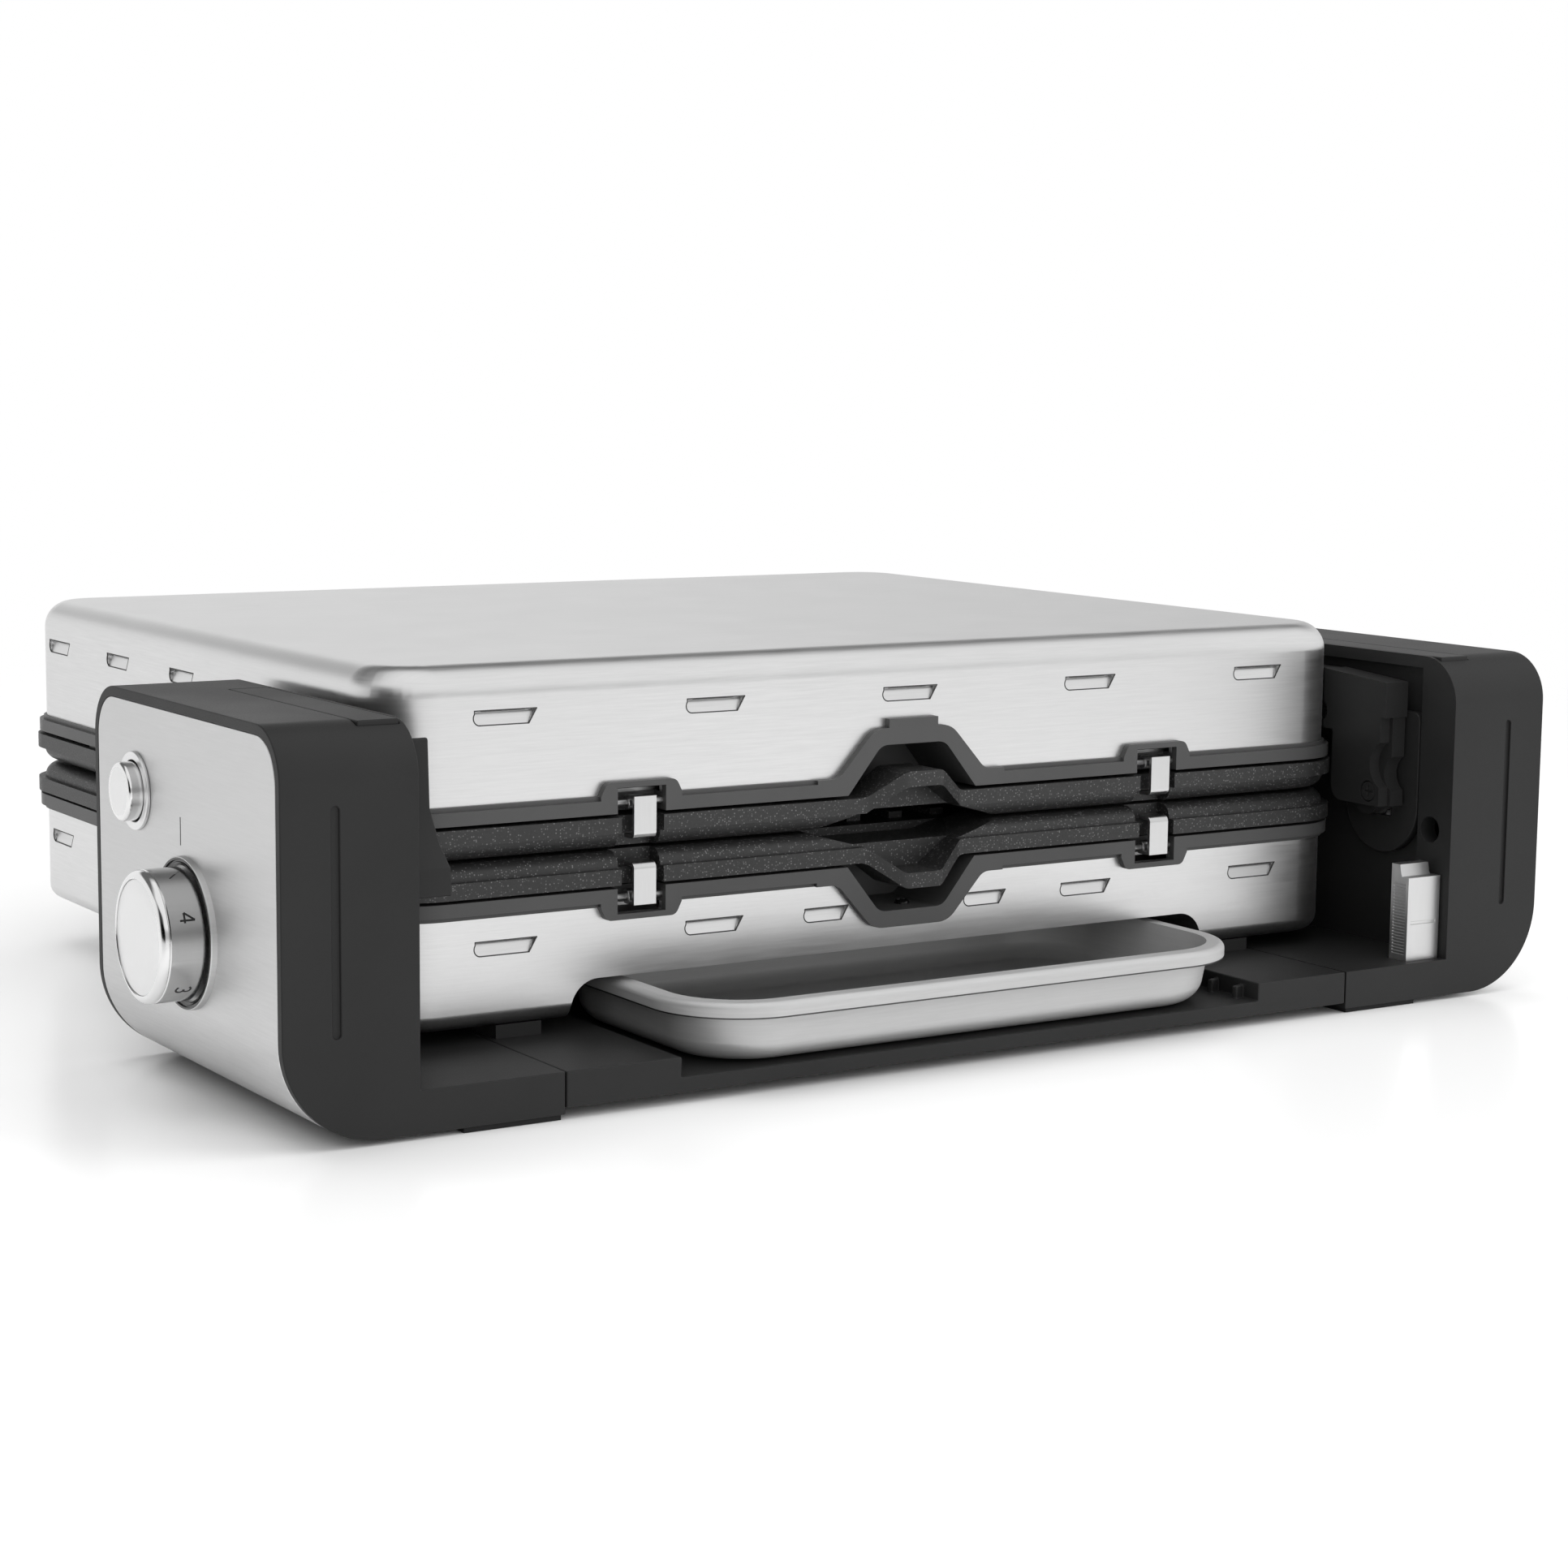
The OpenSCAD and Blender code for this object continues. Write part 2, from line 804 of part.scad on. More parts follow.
module pillar_form() {
    slot_low = pivot_z - block_h / 2 - 2.6;
    difference() {
        union() {
            pillar_block(0);
            translate([foot_in, 0, sole])
                cube([foot_reach + 6, pillar_d, foot_h - sole]);
        }
        panel_form();
        cavity_form();
        translate([xi - 1, 15.5, foot_h])
            cube([recess_d + 1, pillar_d - 31, pillar_h - 4 - foot_h]);
        translate([wall_x - 1, pivot_y - 8.6, slot_low]) cube([wall + 2, 17.2, block_h + lift + 5.2]);
        cap_form(0.2);
        for (k = [0, 1]) pad_form(k);
        translate([foot_in - 1, tongue_y, tongue_z])
            cube([tongue_len + 1.5, tongue_d, tongue_h + 0.2]);
        along_y(-1, 0.9) {
            translate([xo - 16.7, 31]) square([2.4, 59]);
            for (z = [31, 90]) translate([xo - 15.5, z]) circle(1.2);
        }
    }
}

// bores behind the dial and the button, in the left pillar's place
module control_bores(x0, x1) {
    rod(x0, x1, dial_y, dial_z, shaft_r + 2);
    rod(x0, x1, button_y, button_z, button_r + 1.6);
}

module pillar_left() {
    color(dark)
        difference() {
            on_side(-1) pillar_form();
            control_bores(-xo - 1, -xo + 8);
        }
}

module pillar_right() {
    color(dark)
        difference() {
            pillar_form();
            // outlet in the inner wall
            rod(xi - 1, xi + 8, 9.8, 55.2, 4.3);
            translate([latch_x0 - 0.4, latch_y0 - 0.4, 4])
                cube([latch_x1 - latch_x0 + 0.8, latch_y1 - latch_y0 + 0.8, 20]);
        }
}

module panel_left() {
    color(steel)
        difference() {
            on_side(-1) panel_form();
            control_bores(-xo - 1, -xo + 8);
        }
}

module panel_right() {
    color(steel) panel_form();
}

module cap_left() {
    color(dark) on_side(-1) cap_form(0);
}

module cap_right() {
    color(dark) cap_form(0);
}

// plate with the slot that the hinge block rides in
module guide_form() {
    along_x(wall_x - guide_t, wall_x)
        difference() {
            union() {
                translate([pivot_y - guide_w / 2, pivot_z - 2]) square([guide_w, guide_top - 1]);
                translate([pivot_y - guide_w / 2 + 3, pivot_z]) square([guide_w - 6, guide_top]);
                for (k = [-1, 1])
                    translate([pivot_y + k * (guide_w / 2 - 3), pivot_z + guide_top - 3]) circle(3);
                translate([pivot_y, pivot_z - 2]) circle(guide_w / 2);
            }
            translate([pivot_y - slot_w / 2, pivot_z - block_h / 2 - 0.2])
                square([slot_w, block_h + lift + 0.4]);
        }
}

module guide_left() {
    color(dark) on_side(-1) guide_form();
}

module guide_right() {
    color(dark) guide_form();
}

// block in the guide's slot, with a flange behind it
module block_form() {
    difference() {
        union() {
            translate([wall_x - guide_t + 0.2, pivot_y - slot_w / 2 + 0.1, pivot_z - block_h / 2])
                cube([guide_t + 0.5, slot_w - 0.2, block_h]);
            translate([wall_x + 0.15, pivot_y - 8, pivot_z - block_h / 2 - 2])
                cube([wall - 0.5, 16, block_h + 4]);
        }
        rod(xi - 5, xo, pivot_y, pivot_z, pin_r + run_gap);
    }
}

module hinge_block_left() {
    color(alloy) on_side(-1) block_form();
}

module hinge_block_right() {
    color(alloy) block_form();
}

module pin_form() {
    rod(arm_in + cheek_t, cavity_x - 0.6, pivot_y, pivot_z, pin_r);
    rod(arm_out, arm_out + 1, pivot_y, pivot_z, pin_r + 3.3);
}

module hinge_pin_left() {
    color(bright) on_side(-1) pin_form();
}

module hinge_pin_right() {
    color(bright) pin_form();
}

screw_top = [pivot_y + 19.5, pivot_z + 27.5];
screw_low = [pivot_y - 4.8, pivot_z + 2.8];

// arm from the pin to the lid's side, with a curved bite in its front edge
module arm_form() {
    difference() {
        union() {
            // inner cheek with the deep bite, outer cheek with a shallow one
            for (k = [0, 1])
                along_x(k == 0 ? arm_in : arm_in + cheek_t - 0.5, k == 0 ? arm_in + cheek_t : arm_out)
                    difference() {
                        polygon([
                            [arm_front, arm_low], [arm_front, arm_top],
                            [cheek_end, arm_top + arm_slope * (cheek_end - arm_front)],
                            [cheek_end, leaf_low], [arm_back, leaf_low], [arm_back, arm_low]
                        ]);
                        translate([arm_front - (k == 0 ? 1.5 : 2.5), pivot_z + (k == 0 ? 12 : 9)])
                            circle(k == 0 ? 8.3 : 6.5);
                        translate([arm_front - 1, arm_low - 1])
                            square([k == 0 ? 3.2 : 1.8, block_low - arm_low + 1]);
                        difference() {
                            translate([arm_back - 5, arm_low - 1]) square([6, 6]);
                            translate([arm_back - 5, arm_low + 5]) circle(5);
                        }
                    }
            along_x(arm_in + cheek_t - 0.5, arm_out)
                translate([pivot_y, pivot_z]) circle(pin_r + 2.6);
            translate([body_half, cheek_end - 1, leaf_low])
                cube([arm_out - body_half, leaf_end - cheek_end + 1, arm_top + 2 - leaf_low]);
        }
        rod(arm_in + cheek_t, arm_out + 5, pivot_y, pivot_z, pin_r);
        screw_seat(body_half, screw_top);
        screw_seat(arm_in, screw_low);
    }
}

module arm_left() {
    color(dark) on_side(-1) arm_form();
}

module arm_right() {
    color(dark) arm_form();
}

// cover of the wiring on the left arm's front
module cable_cover() {
    color(dark)
        on_side(-1)
            along_x(arm_in - 2, arm_out)
                polygon([
                    [arm_front, cover_low + 4], [arm_front, arm_top + 2],
                    [arm_front - 1, arm_top + 1.5], [arm_front - 2, cover_low + 27],
                    [arm_front - 8, cover_low + 18], [arm_front - 14.5, cover_low + 12.5],
                    [arm_front - 15, cover_low + 5]
                ]);
}

// screw sunk in the arm's face at x, cross recess in its head
module screw_form(x, at) {
    difference() {
        union() {
            rod(x + 0.2, x + head_t, at[0], at[1], head_r);
            rod(x + head_t - 0.5, arm_out - 1, at[0], at[1], screw_r);
        }
        translate([x - 0.5, at[0] - 2, at[1] - 0.4]) cube([1.3, 4, 0.8]);
        translate([x - 0.5, at[0] - 0.4, at[1] - 2]) cube([1.3, 0.8, 4]);
    }
}

// seat of a screw in the arm
module screw_seat(x, at) {
    rod(x - 5, x + head_t, at[0], at[1], head_r + 0.35);
    rod(x - 5, arm_out - 1, at[0], at[1], screw_r);
}

module screw_top_left() {
    color(dark) on_side(-1) screw_form(body_half, screw_top);
}

module screw_top_right() {
    color(dark) screw_form(body_half, screw_top);
}

module screw_low_left() {
    color(dark) on_side(-1) screw_form(arm_in, screw_low);
}

module screw_low_right() {
    color(dark) screw_form(arm_in, screw_low);
}

// bar with rounded ends
module handle_grip() {
    e = 4;
    color(dark)
        translate([-grip_len / 2, grip_y, grip_z]) rotate([0, 90, 0])
            rotate_extrude()
                difference() {
                    square([grip_r, grip_len]);
                    for (m = [0, 1])
                        translate([0, m * grip_len]) mirror([0, m])
                            difference() {
                                translate([grip_r - e, -1]) square(e + 1);
                                translate([grip_r - e, e]) circle(e);
                            }
                }
}

module bracket_form(s) {
    difference() {
        translate([s * bracket_x - 8, body_back, grip_z - 7]) cube([16, 34, 14]);
        rod(-grip_len, grip_len, grip_y, grip_z, grip_r);
    }
}

module bracket_left() {
    color(steel) bracket_form(-1);
}

module bracket_right() {
    color(steel) bracket_form(1);
}

module base_plate() {
    color(dark)
        difference() {
            union() {
                translate([-base_half, 0, base_low])
                    cube([2 * base_half, base_d, foot_h - base_low]);
                // tongues in the feet
                for (s = [-1, 1])
                    translate([s * (base_half + tongue_len / 2 - 1) - tongue_len / 2 - 1,
                               tongue_y + 0.2, tongue_z])
                        cube([tongue_len + 2, tongue_d - 0.4, tongue_h]);
                // slanted guides beside the tray
                for (s = [-1, 1], y = [8, 20])
                    translate([s * (recess_half - 1), y, recess_floor - 0.5])
                        rotate([0, 0, s * 20]) translate([-3.2, -1, 0]) cube([6.4, 2, 4.5]);
            }
            difference() {
                translate([-recess_half, -1, recess_floor])
                    cube([2 * recess_half, tray_d + 12, 20]);
                for (s = [-1, 1], y = [8, 20])
                    translate([s * (recess_half - 1), y, recess_floor - 0.5])
                        rotate([0, 0, s * 20]) translate([-3.2, -1, 0]) cube([6.4, 2, 4.5]);
            }
            for (s = [-1, 1]) pad_far(s);
        }
}

// rubber pad under the base plate's far end
module pad_far(s) {
    translate([s * (base_half - pad_inset) - pad_w / 2, base_d - pad_d - 10, 0])
        cube([pad_w, pad_d, base_low + 1]);
}

module pad_front_left() {
    color(soft) on_side(-1) pad_form(0);
}

module pad_front_right() {
    color(soft) pad_form(0);
}

module pad_back_left() {
    color(soft) on_side(-1) pad_form(1);
}

module pad_back_right() {
    color(soft) pad_form(1);
}

module pad_far_left() {
    color(soft) pad_far(-1);
}

module pad_far_right() {
    color(soft) pad_far(1);
}

// rail between the base plate and the lower shell
module rail_form() {
    translate([rail_x0, body_front + rail_inset, foot_h])
        cube([rail_x1 - rail_x0, base_d - body_front - rail_inset - rail_end, shell_base - foot_h]);
}

module rail_left() {
    color(dark) on_side(-1) rail_form();
}

module rail_right() {
    color(dark) rail_form();
}

module drip_tray() {
    w = tray_w - 2 * flange;
    d = tray_d - 2 * flange;
    y = tray_d / 2 - tray_front;
    h = tray_top - tray_low;
    color(steel)
        difference() {
            union() {
                translate([0, y, tray_top]) mirror([0, 0, 1]) pan(w, d, h, 28 - flange, 6);
                // rim with a rolled edge
                translate([0, y, tray_top - roll_h]) pan(tray_w, tray_d, roll_h, 28, roll_r);
            }
            translate([0, y, tray_top + 1]) mirror([0, 0, 1])
                pan(w - 2 * tray_t, d - 2 * tray_t, h - tray_t + 1,
                    28 - flange - tray_t, 6 - tray_t);
            difference() {
                translate([0, y, tray_top - roll_h - 1])
                    pan(tray_w - 2 * tray_t, tray_d - 2 * tray_t, roll_h + 1 - tray_t,
                        28 - tray_t, roll_r - tray_t);
                translate([0, y, tray_top]) mirror([0, 0, 1]) pan(w, d, h, 28 - flange, 6);
            }
        }
}

// dial pieces are drawn outward from the left side panel
module on_panel(y, z) {
    translate([-xo, y, z]) rotate([0, -90, 0]) children();
}

module dial_bezel() {
    color(dark)
        on_panel(dial_y, dial_z)
            difference() {
                union() {
                    cylinder(h = bezel_t, r = knob_r + 2.8);
                    translate([0, 0, -case_t]) cylinder(h = case_t + 0.5, r = shaft_r + 2);
                }
                translate([0, 0, -20]) cylinder(h = 40, r = shaft_r + run_gap);
            }
}

module dial_knob() {
    h0 = bezel_t + 0.5;
    h1 = dial_out;
    e = 2.3;
    color(steel)
        on_panel(dial_y, dial_z)
            difference() {
                rotate_extrude()
                    difference() {
                        translate([0, h0]) square([knob_r, h1 - h0]);
                        difference() {
                            translate([knob_r - e, h1 - e]) square(e + 1);
                            translate([knob_r - e, h1 - e]) circle(e);
                        }
                    }
                translate([0, 0, h1 - 0.8]) cylinder(h = 2, r = knob_r - 2.4);
                translate([0, 0, h0 - 1]) cylinder(h = 8, r = shaft_r);
            }
}

module dial_cap() {
    color(bright)
        on_panel(dial_y, dial_z)
            translate([0, 0, dial_out - 0.8]) cylinder(h = 0.8, r = knob_r - 2.5);
}

module dial_shaft() {
    color(alloy)
        on_panel(dial_y, dial_z)
            translate([0, 0, -16]) cylinder(h = 16 + bezel_t + 7, r = shaft_r);
}

module thermostat() {
    color(alloy)
        on_panel(dial_y, dial_z)
            difference() {
                translate([-14, -14, -24]) cube([28, 28, 24 - case_t]);
                translate([0, 0, -17]) cylinder(h = 17, r = shaft_r + run_gap);
            }
}

module button_bezel() {
    color(bright)
        on_panel(button_y, button_z)
            difference() {
                union() {
                    cylinder(h = 1.2, r = button_r + 2.8);
                    translate([0, 0, -case_t]) cylinder(h = case_t + 0.5, r = button_r + 1.6);
                }
                translate([0, 0, -20]) cylinder(h = 40, r = button_r + 0.4);
            }
}

module power_button() {
    e = 1.2;
    color(bright)
        on_panel(button_y, button_z)
            rotate_extrude()
                difference() {
                    translate([0, -5]) square([button_r, 10.4]);
                    difference() {
                        translate([button_r - e, 5.4 - e]) square(e + 1);
                        translate([button_r - e, 5.4 - e]) circle(e);
                    }
                }
}

module power_switch() {
    leg = button_r + 1.8;
    top = -5.6 - button_travel;
    color(dark)
        on_panel(button_y, button_z) {
            translate([-leg - 2, -9, -26]) cube([2 * leg + 4, 18, 26 + top]);
            for (s = [-1, 1])
                translate([s * (leg + 1) - 1, -9, top - 1]) cube([2, 18, 1 - top - case_t]);
        }
}

// stop latch: stands in the right foot, stepped top, knurled inner side
module stop_latch() {
    n = 24;
    color(bright)
        difference() {
            union() {
                translate([latch_x0, latch_y0, 10.6])
                    cube([latch_x1 - latch_x0, latch_y1 - latch_y0, latch_top - 10.6]);
                along_x(latch_x0, latch_x1 - 1.5)
                    polygon([
                        [latch_y0 + 2.6, latch_top - 1], [latch_y1, latch_top - 1],
                        [latch_y1, latch_top + 4], [latch_y0 + 4.2, latch_top + 4],
                        [latch_y0 + 3.6, latch_top + 1]
                    ]);
            }
            for (i = [1:n])
                translate([latch_x0 - 0.5, latch_y0 + 1.2, foot_h + 1 + i])
                    cube([0.9, latch_y1 - latch_y0 - 2.4, 0.5]);
            translate([latch_x0 + 1.5, latch_y0 - 0.5, foot_h + 12])
                cube([latch_x1 - latch_x0 - 3, 0.8, 1]);
        }
}

translate(home) base_plate();
translate(home) pillar_left();
translate(home) pillar_right();
translate(home) panel_left();
translate(home) panel_right();
translate(home) cap_left();
translate(home) cap_right();
translate(home) guide_left();
translate(home) guide_right();
translate(home) rail_left();
translate(home) rail_right();
translate(home) lower_shell();
translate(home) lower_rim();
translate(home) lower_plate();
translate(home) lower_heater();
translate(home) lower_reflector();
translate(home) lower_pin_left();
translate(home) lower_pin_right();
translate(home) dial_bezel();
translate(home) button_bezel();
translate(home) thermostat();
translate(home) power_switch();
translate(home) pad_front_left();
translate(home) pad_front_right();
translate(home) pad_back_left();
translate(home) pad_back_right();
translate(home) pad_far_left();
translate(home) pad_far_right();
translate(home) hinge_block_left();
translate(home) hinge_block_right();
translate(home) lid_shell();
translate(home) upper_rim();
translate(home) upper_plate();
translate(home) upper_heater();
translate(home) upper_reflector();
translate(home) arm_left();
translate(home) arm_right();
translate(home) hinge_pin_left();
translate(home) hinge_pin_right();
translate(home) cable_cover();
translate(home) screw_top_left();
translate(home) screw_top_right();
translate(home) screw_low_left();
translate(home) screw_low_right();
translate(home) handle_grip();
translate(home) bracket_left();
translate(home) bracket_right();
translate(home) upper_pin_left();
translate(home) upper_pin_right();
translate(home) dial_knob();
translate(home) dial_cap();
translate(home) dial_shaft();
translate(home) power_button();
translate(home) stop_latch();
translate(home) drip_tray();
translate(home) clip_lower_left();
translate(home) clip_lower_right();
translate(home) clip_upper_left();
translate(home) clip_upper_right();
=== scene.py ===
"""Dresses the contact grill: finishes, softened edges, dial marks, studio and camera."""
import json
import math

import bmesh
import bpy
from mathutils import Matrix, Vector

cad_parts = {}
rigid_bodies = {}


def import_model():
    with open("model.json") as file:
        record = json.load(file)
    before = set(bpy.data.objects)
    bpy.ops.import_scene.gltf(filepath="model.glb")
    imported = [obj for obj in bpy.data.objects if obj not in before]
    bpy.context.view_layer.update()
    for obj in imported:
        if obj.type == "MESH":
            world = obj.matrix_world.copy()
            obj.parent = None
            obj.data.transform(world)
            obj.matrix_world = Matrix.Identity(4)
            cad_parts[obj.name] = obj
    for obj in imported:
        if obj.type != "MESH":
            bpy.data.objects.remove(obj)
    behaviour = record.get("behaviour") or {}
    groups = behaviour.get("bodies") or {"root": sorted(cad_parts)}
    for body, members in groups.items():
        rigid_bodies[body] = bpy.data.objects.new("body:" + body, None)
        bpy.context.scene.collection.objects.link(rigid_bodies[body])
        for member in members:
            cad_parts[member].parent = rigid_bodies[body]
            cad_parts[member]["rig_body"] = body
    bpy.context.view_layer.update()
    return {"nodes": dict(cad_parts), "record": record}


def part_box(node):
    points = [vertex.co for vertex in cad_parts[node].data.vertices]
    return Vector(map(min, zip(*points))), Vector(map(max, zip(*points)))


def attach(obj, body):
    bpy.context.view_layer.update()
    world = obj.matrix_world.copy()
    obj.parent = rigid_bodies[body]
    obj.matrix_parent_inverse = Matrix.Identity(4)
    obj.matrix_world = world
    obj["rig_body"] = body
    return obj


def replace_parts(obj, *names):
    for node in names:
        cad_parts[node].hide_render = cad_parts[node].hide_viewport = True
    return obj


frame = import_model()
nodes = frame["nodes"]
scene = bpy.context.scene
MM = 0.001

# Camera, fitted to the photograph, in the part's frame
CAMERA_AT = Vector((-0.5367, -0.92195, 0.2084))
CAMERA_YAW = math.radians(32.5)
CAMERA_PITCH = math.radians(7.8)
CAMERA_ROLL = math.radians(0.6)
FOCAL_PX = 3884.3
PHOTO_PX = 1932
SENSOR = 36.0


# Shader helpers

class Nodes:
    """A node tree with short calls to add nodes and wires."""

    def __init__(self, tree):
        self.tree = tree
        tree.nodes.clear()

    def add(self, kind, **props):
        node = self.tree.nodes.new("ShaderNode" + kind)
        for key, value in props.items():
            setattr(node, key, value)
        return node

    def wire(self, a, b):
        self.tree.links.new(a, b)

    def place(self, scale):
        """Object coordinates in metres, stretched by scale."""
        coords = self.add("TexCoord")
        mapping = self.add("Mapping")
        mapping.inputs["Scale"].default_value = scale
        self.wire(coords.outputs["Object"], mapping.inputs["Vector"])
        return mapping.outputs["Vector"]

    def noise(self, vector, scale, detail=3.0, rough=0.55):
        node = self.add("TexNoise")
        node.inputs["Scale"].default_value = scale
        node.inputs["Detail"].default_value = detail
        node.inputs["Roughness"].default_value = rough
        self.wire(vector, node.inputs["Vector"])
        return node.outputs["Fac"]

    def span(self, value, a, b, c, d):
        """Maps a..b of value to c..d."""
        node = self.add("MapRange")
        for key, number in zip(("From Min", "From Max", "To Min", "To Max"), (a, b, c, d)):
            node.inputs[key].default_value = number
        self.wire(value, node.inputs["Value"])
        return node.outputs["Result"]

    def math(self, op, a, b):
        node = self.add("Math", operation=op)
        for socket, value in zip(node.inputs, (a, b)):
            if hasattr(value, "is_linked"):
                self.wire(value, socket)
            else:
                socket.default_value = value
        return node.outputs["Value"]

    def vmath(self, op, *values):
        node = self.add("VectorMath", operation=op)
        for socket, value in zip(node.inputs, values):
            if hasattr(value, "is_linked"):
                self.wire(value, socket)
            else:
                socket.default_value = value
        return node.outputs["Value" if op == "LENGTH" else "Vector"]

    def mix(self, fac, a, b):
        node = self.add("Mix", data_type="RGBA")
        self.wire(fac, node.inputs["Factor"])
        for key, value in (("A", a), ("B", b)):
            socket = [s for s in node.inputs if s.name == key and s.type == "RGBA"][0]
            if hasattr(value, "is_linked"):
                self.wire(value, socket)
            else:
                socket.default_value = (*value, 1.0)
        return [s for s in node.outputs if s.type == "RGBA"][0]


class Shader(Nodes):
    """A material with one shader."""

    def __init__(self, name):
        self.material = bpy.data.materials.new(name)
        self.material.use_nodes = True
        super().__init__(self.material.node_tree)
        self.out = self.add("OutputMaterial")
        self.bsdf = self.add("BsdfPrincipled")
        self.wire(self.bsdf.outputs["BSDF"], self.out.inputs["Surface"])

    def set(self, **values):
        for key, value in values.items():
            self.bsdf.inputs[key.replace("_", " ")].default_value = value

    def bump(self, height, strength, distance):
        node = self.add("Bump")
        node.inputs["Strength"].default_value = strength
        node.inputs["Distance"].default_value = distance
        self.wire(height, node.inputs["Height"])
        self.wire(node.outputs["Normal"], self.bsdf.inputs["Normal"])


def grey(value):
    return (value, value, value)


def brushed(name, tone, rough, streak=1.0, aniso=0.5, fine=1300.0, vertical=False, edge=0.7, metal=1.0):
    """Sheet metal brushed along its longer way: horizontal on walls, along X on top.
    edge dims it at grazing views, and metal below 1 gives it a satin share."""
    s = Shader(name)
    s.set(Metallic=metal, Anisotropic=aniso, IOR=2.5, Specular_Tint=(edge, edge, edge, 1.0))
    normal = s.add("NewGeometry").outputs["Normal"]
    facing = s.add("SeparateXYZ")
    s.wire(normal, facing.inputs["Vector"])
    flat = s.span(s.math("ABSOLUTE", facing.outputs["Z"], 0.0), 0.55, 0.8, 0.0, 1.0)
    long = 60
    wall_scale = (fine, fine, long) if vertical else (long, long, fine)
    wall = s.noise(s.place(wall_scale), 1.0, 3.0, 0.65)
    top = s.noise(s.place((long, fine, long)), 1.0, 3.0, 0.65)
    hair = s.mix(flat, wall, top)
    cloud = s.noise(s.place((7, 7, 9)), 1.0, 3.0, 0.5)
    worn = s.noise(s.place((45, 45, 300)), 1.0, 2.0, 0.5)
    tint = s.mix(hair, grey(tone * (1 - 0.16 * streak)), grey(min(1.0, tone * (1 + 0.12 * streak))))
    clouded = s.mix(s.span(cloud, 0.3, 0.7, 0.0, 0.5), tint, grey(tone * 0.94))
    s.wire(clouded, s.bsdf.inputs["Base Color"])
    gloss = s.math("ADD", s.span(hair, 0.25, 0.75, rough - 0.04 * streak, rough + 0.05 * streak),
                   s.span(worn, 0.3, 0.7, -0.008, 0.01))
    s.wire(gloss, s.bsdf.inputs["Roughness"])
    s.bump(hair, 0.04 * streak, 0.0002)
    along = s.vmath("CROSS_PRODUCT", (0, 0, 1), normal)
    over = s.add("CombineXYZ")
    s.wire(flat, over.inputs["X"])
    tangent = s.vmath("NORMALIZE", s.vmath("ADD", along, over.outputs["Vector"]))
    s.wire(tangent, s.bsdf.inputs["Tangent"])
    return s.material


def moulded(name, tone, rough, shine=0.4, grain=2600.0, depth=0.00003):
    """Satin plastic with a fine moulded grain and faint patches of sheen."""
    s = Shader(name)
    s.set(IOR=1.48, Specular_IOR_Level=shine)
    coords = s.place((1, 1, 1))
    fine = s.noise(coords, grain, 2.0, 0.6)
    patch = s.noise(coords, 22.0, 3.0, 0.5)
    s.wire(s.mix(s.span(patch, 0.3, 0.7, 0.0, 1.0), grey(tone * 0.88), grey(tone * 1.14)),
           s.bsdf.inputs["Base Color"])
    s.wire(s.math("ADD", s.span(fine, 0.2, 0.8, rough - 0.06, rough + 0.06),
                  s.span(patch, 0.3, 0.7, -0.03, 0.04)), s.bsdf.inputs["Roughness"])
    s.bump(fine, 0.25, depth)
    return s.material


def speckled(name, tone, rough):
    """Dark non-stick coat with fine pale specks."""
    s = Shader(name)
    s.set(IOR=1.5)
    coords = s.place((1, 1, 1))
    cells = s.add("TexVoronoi", feature="F1")
    cells.inputs["Scale"].default_value = 1500.0
    s.wire(coords, cells.inputs["Vector"])
    random = s.add("SeparateColor")
    s.wire(cells.outputs["Color"], random.inputs["Color"])
    dot = s.span(cells.outputs["Distance"], 0.18, 0.42, 1.0, 0.0)
    rare = s.span(random.outputs["Red"], 0.55, 0.75, 0.0, 1.0)
    speck = s.math("MULTIPLY", dot, rare)
    grain = s.noise(coords, 1900.0, 2.0, 0.6)
    patch = s.noise(coords, 30.0, 3.0, 0.5)
    ground = s.mix(patch, grey(tone * 0.8), grey(tone * 1.25))
    s.wire(s.mix(speck, ground, grey(0.12)), s.bsdf.inputs["Base Color"])
    s.wire(s.span(grain, 0.25, 0.75, rough - 0.08, rough + 0.1), s.bsdf.inputs["Roughness"])
    s.bump(grain, 0.5, 0.00008)
    return s.material


def polished(name, tone, rough, scratch=1.0):
    """Bright metal with faint wipe marks."""
    s = Shader(name)
    s.set(Metallic=1.0, IOR=2.5)
    wipe = s.noise(s.place((90, 700, 260)), 1.0, 3.0, 0.6)
    patch = s.noise(s.place((35, 35, 35)), 1.0, 2.0, 0.5)
    s.wire(s.mix(patch, grey(tone * 0.95), grey(min(1.0, tone * 1.03))), s.bsdf.inputs["Base Color"])
    s.wire(s.span(wipe, 0.3, 0.7, rough, rough + 0.07 * scratch), s.bsdf.inputs["Roughness"])
    s.bump(wipe, 0.02 * scratch, 0.0002)
    return s.material


def printed(name, tone):
    """Ink with a little unevenness."""
    s = Shader(name)
    spread = s.noise(s.place((1, 1, 1)), 3000.0, 2.0, 0.5)
    s.wire(s.mix(spread, grey(tone * 0.7), grey(tone * 1.4)), s.bsdf.inputs["Base Color"])
    s.wire(s.span(spread, 0.3, 0.7, 0.4, 0.55), s.bsdf.inputs["Roughness"])
    return s.material


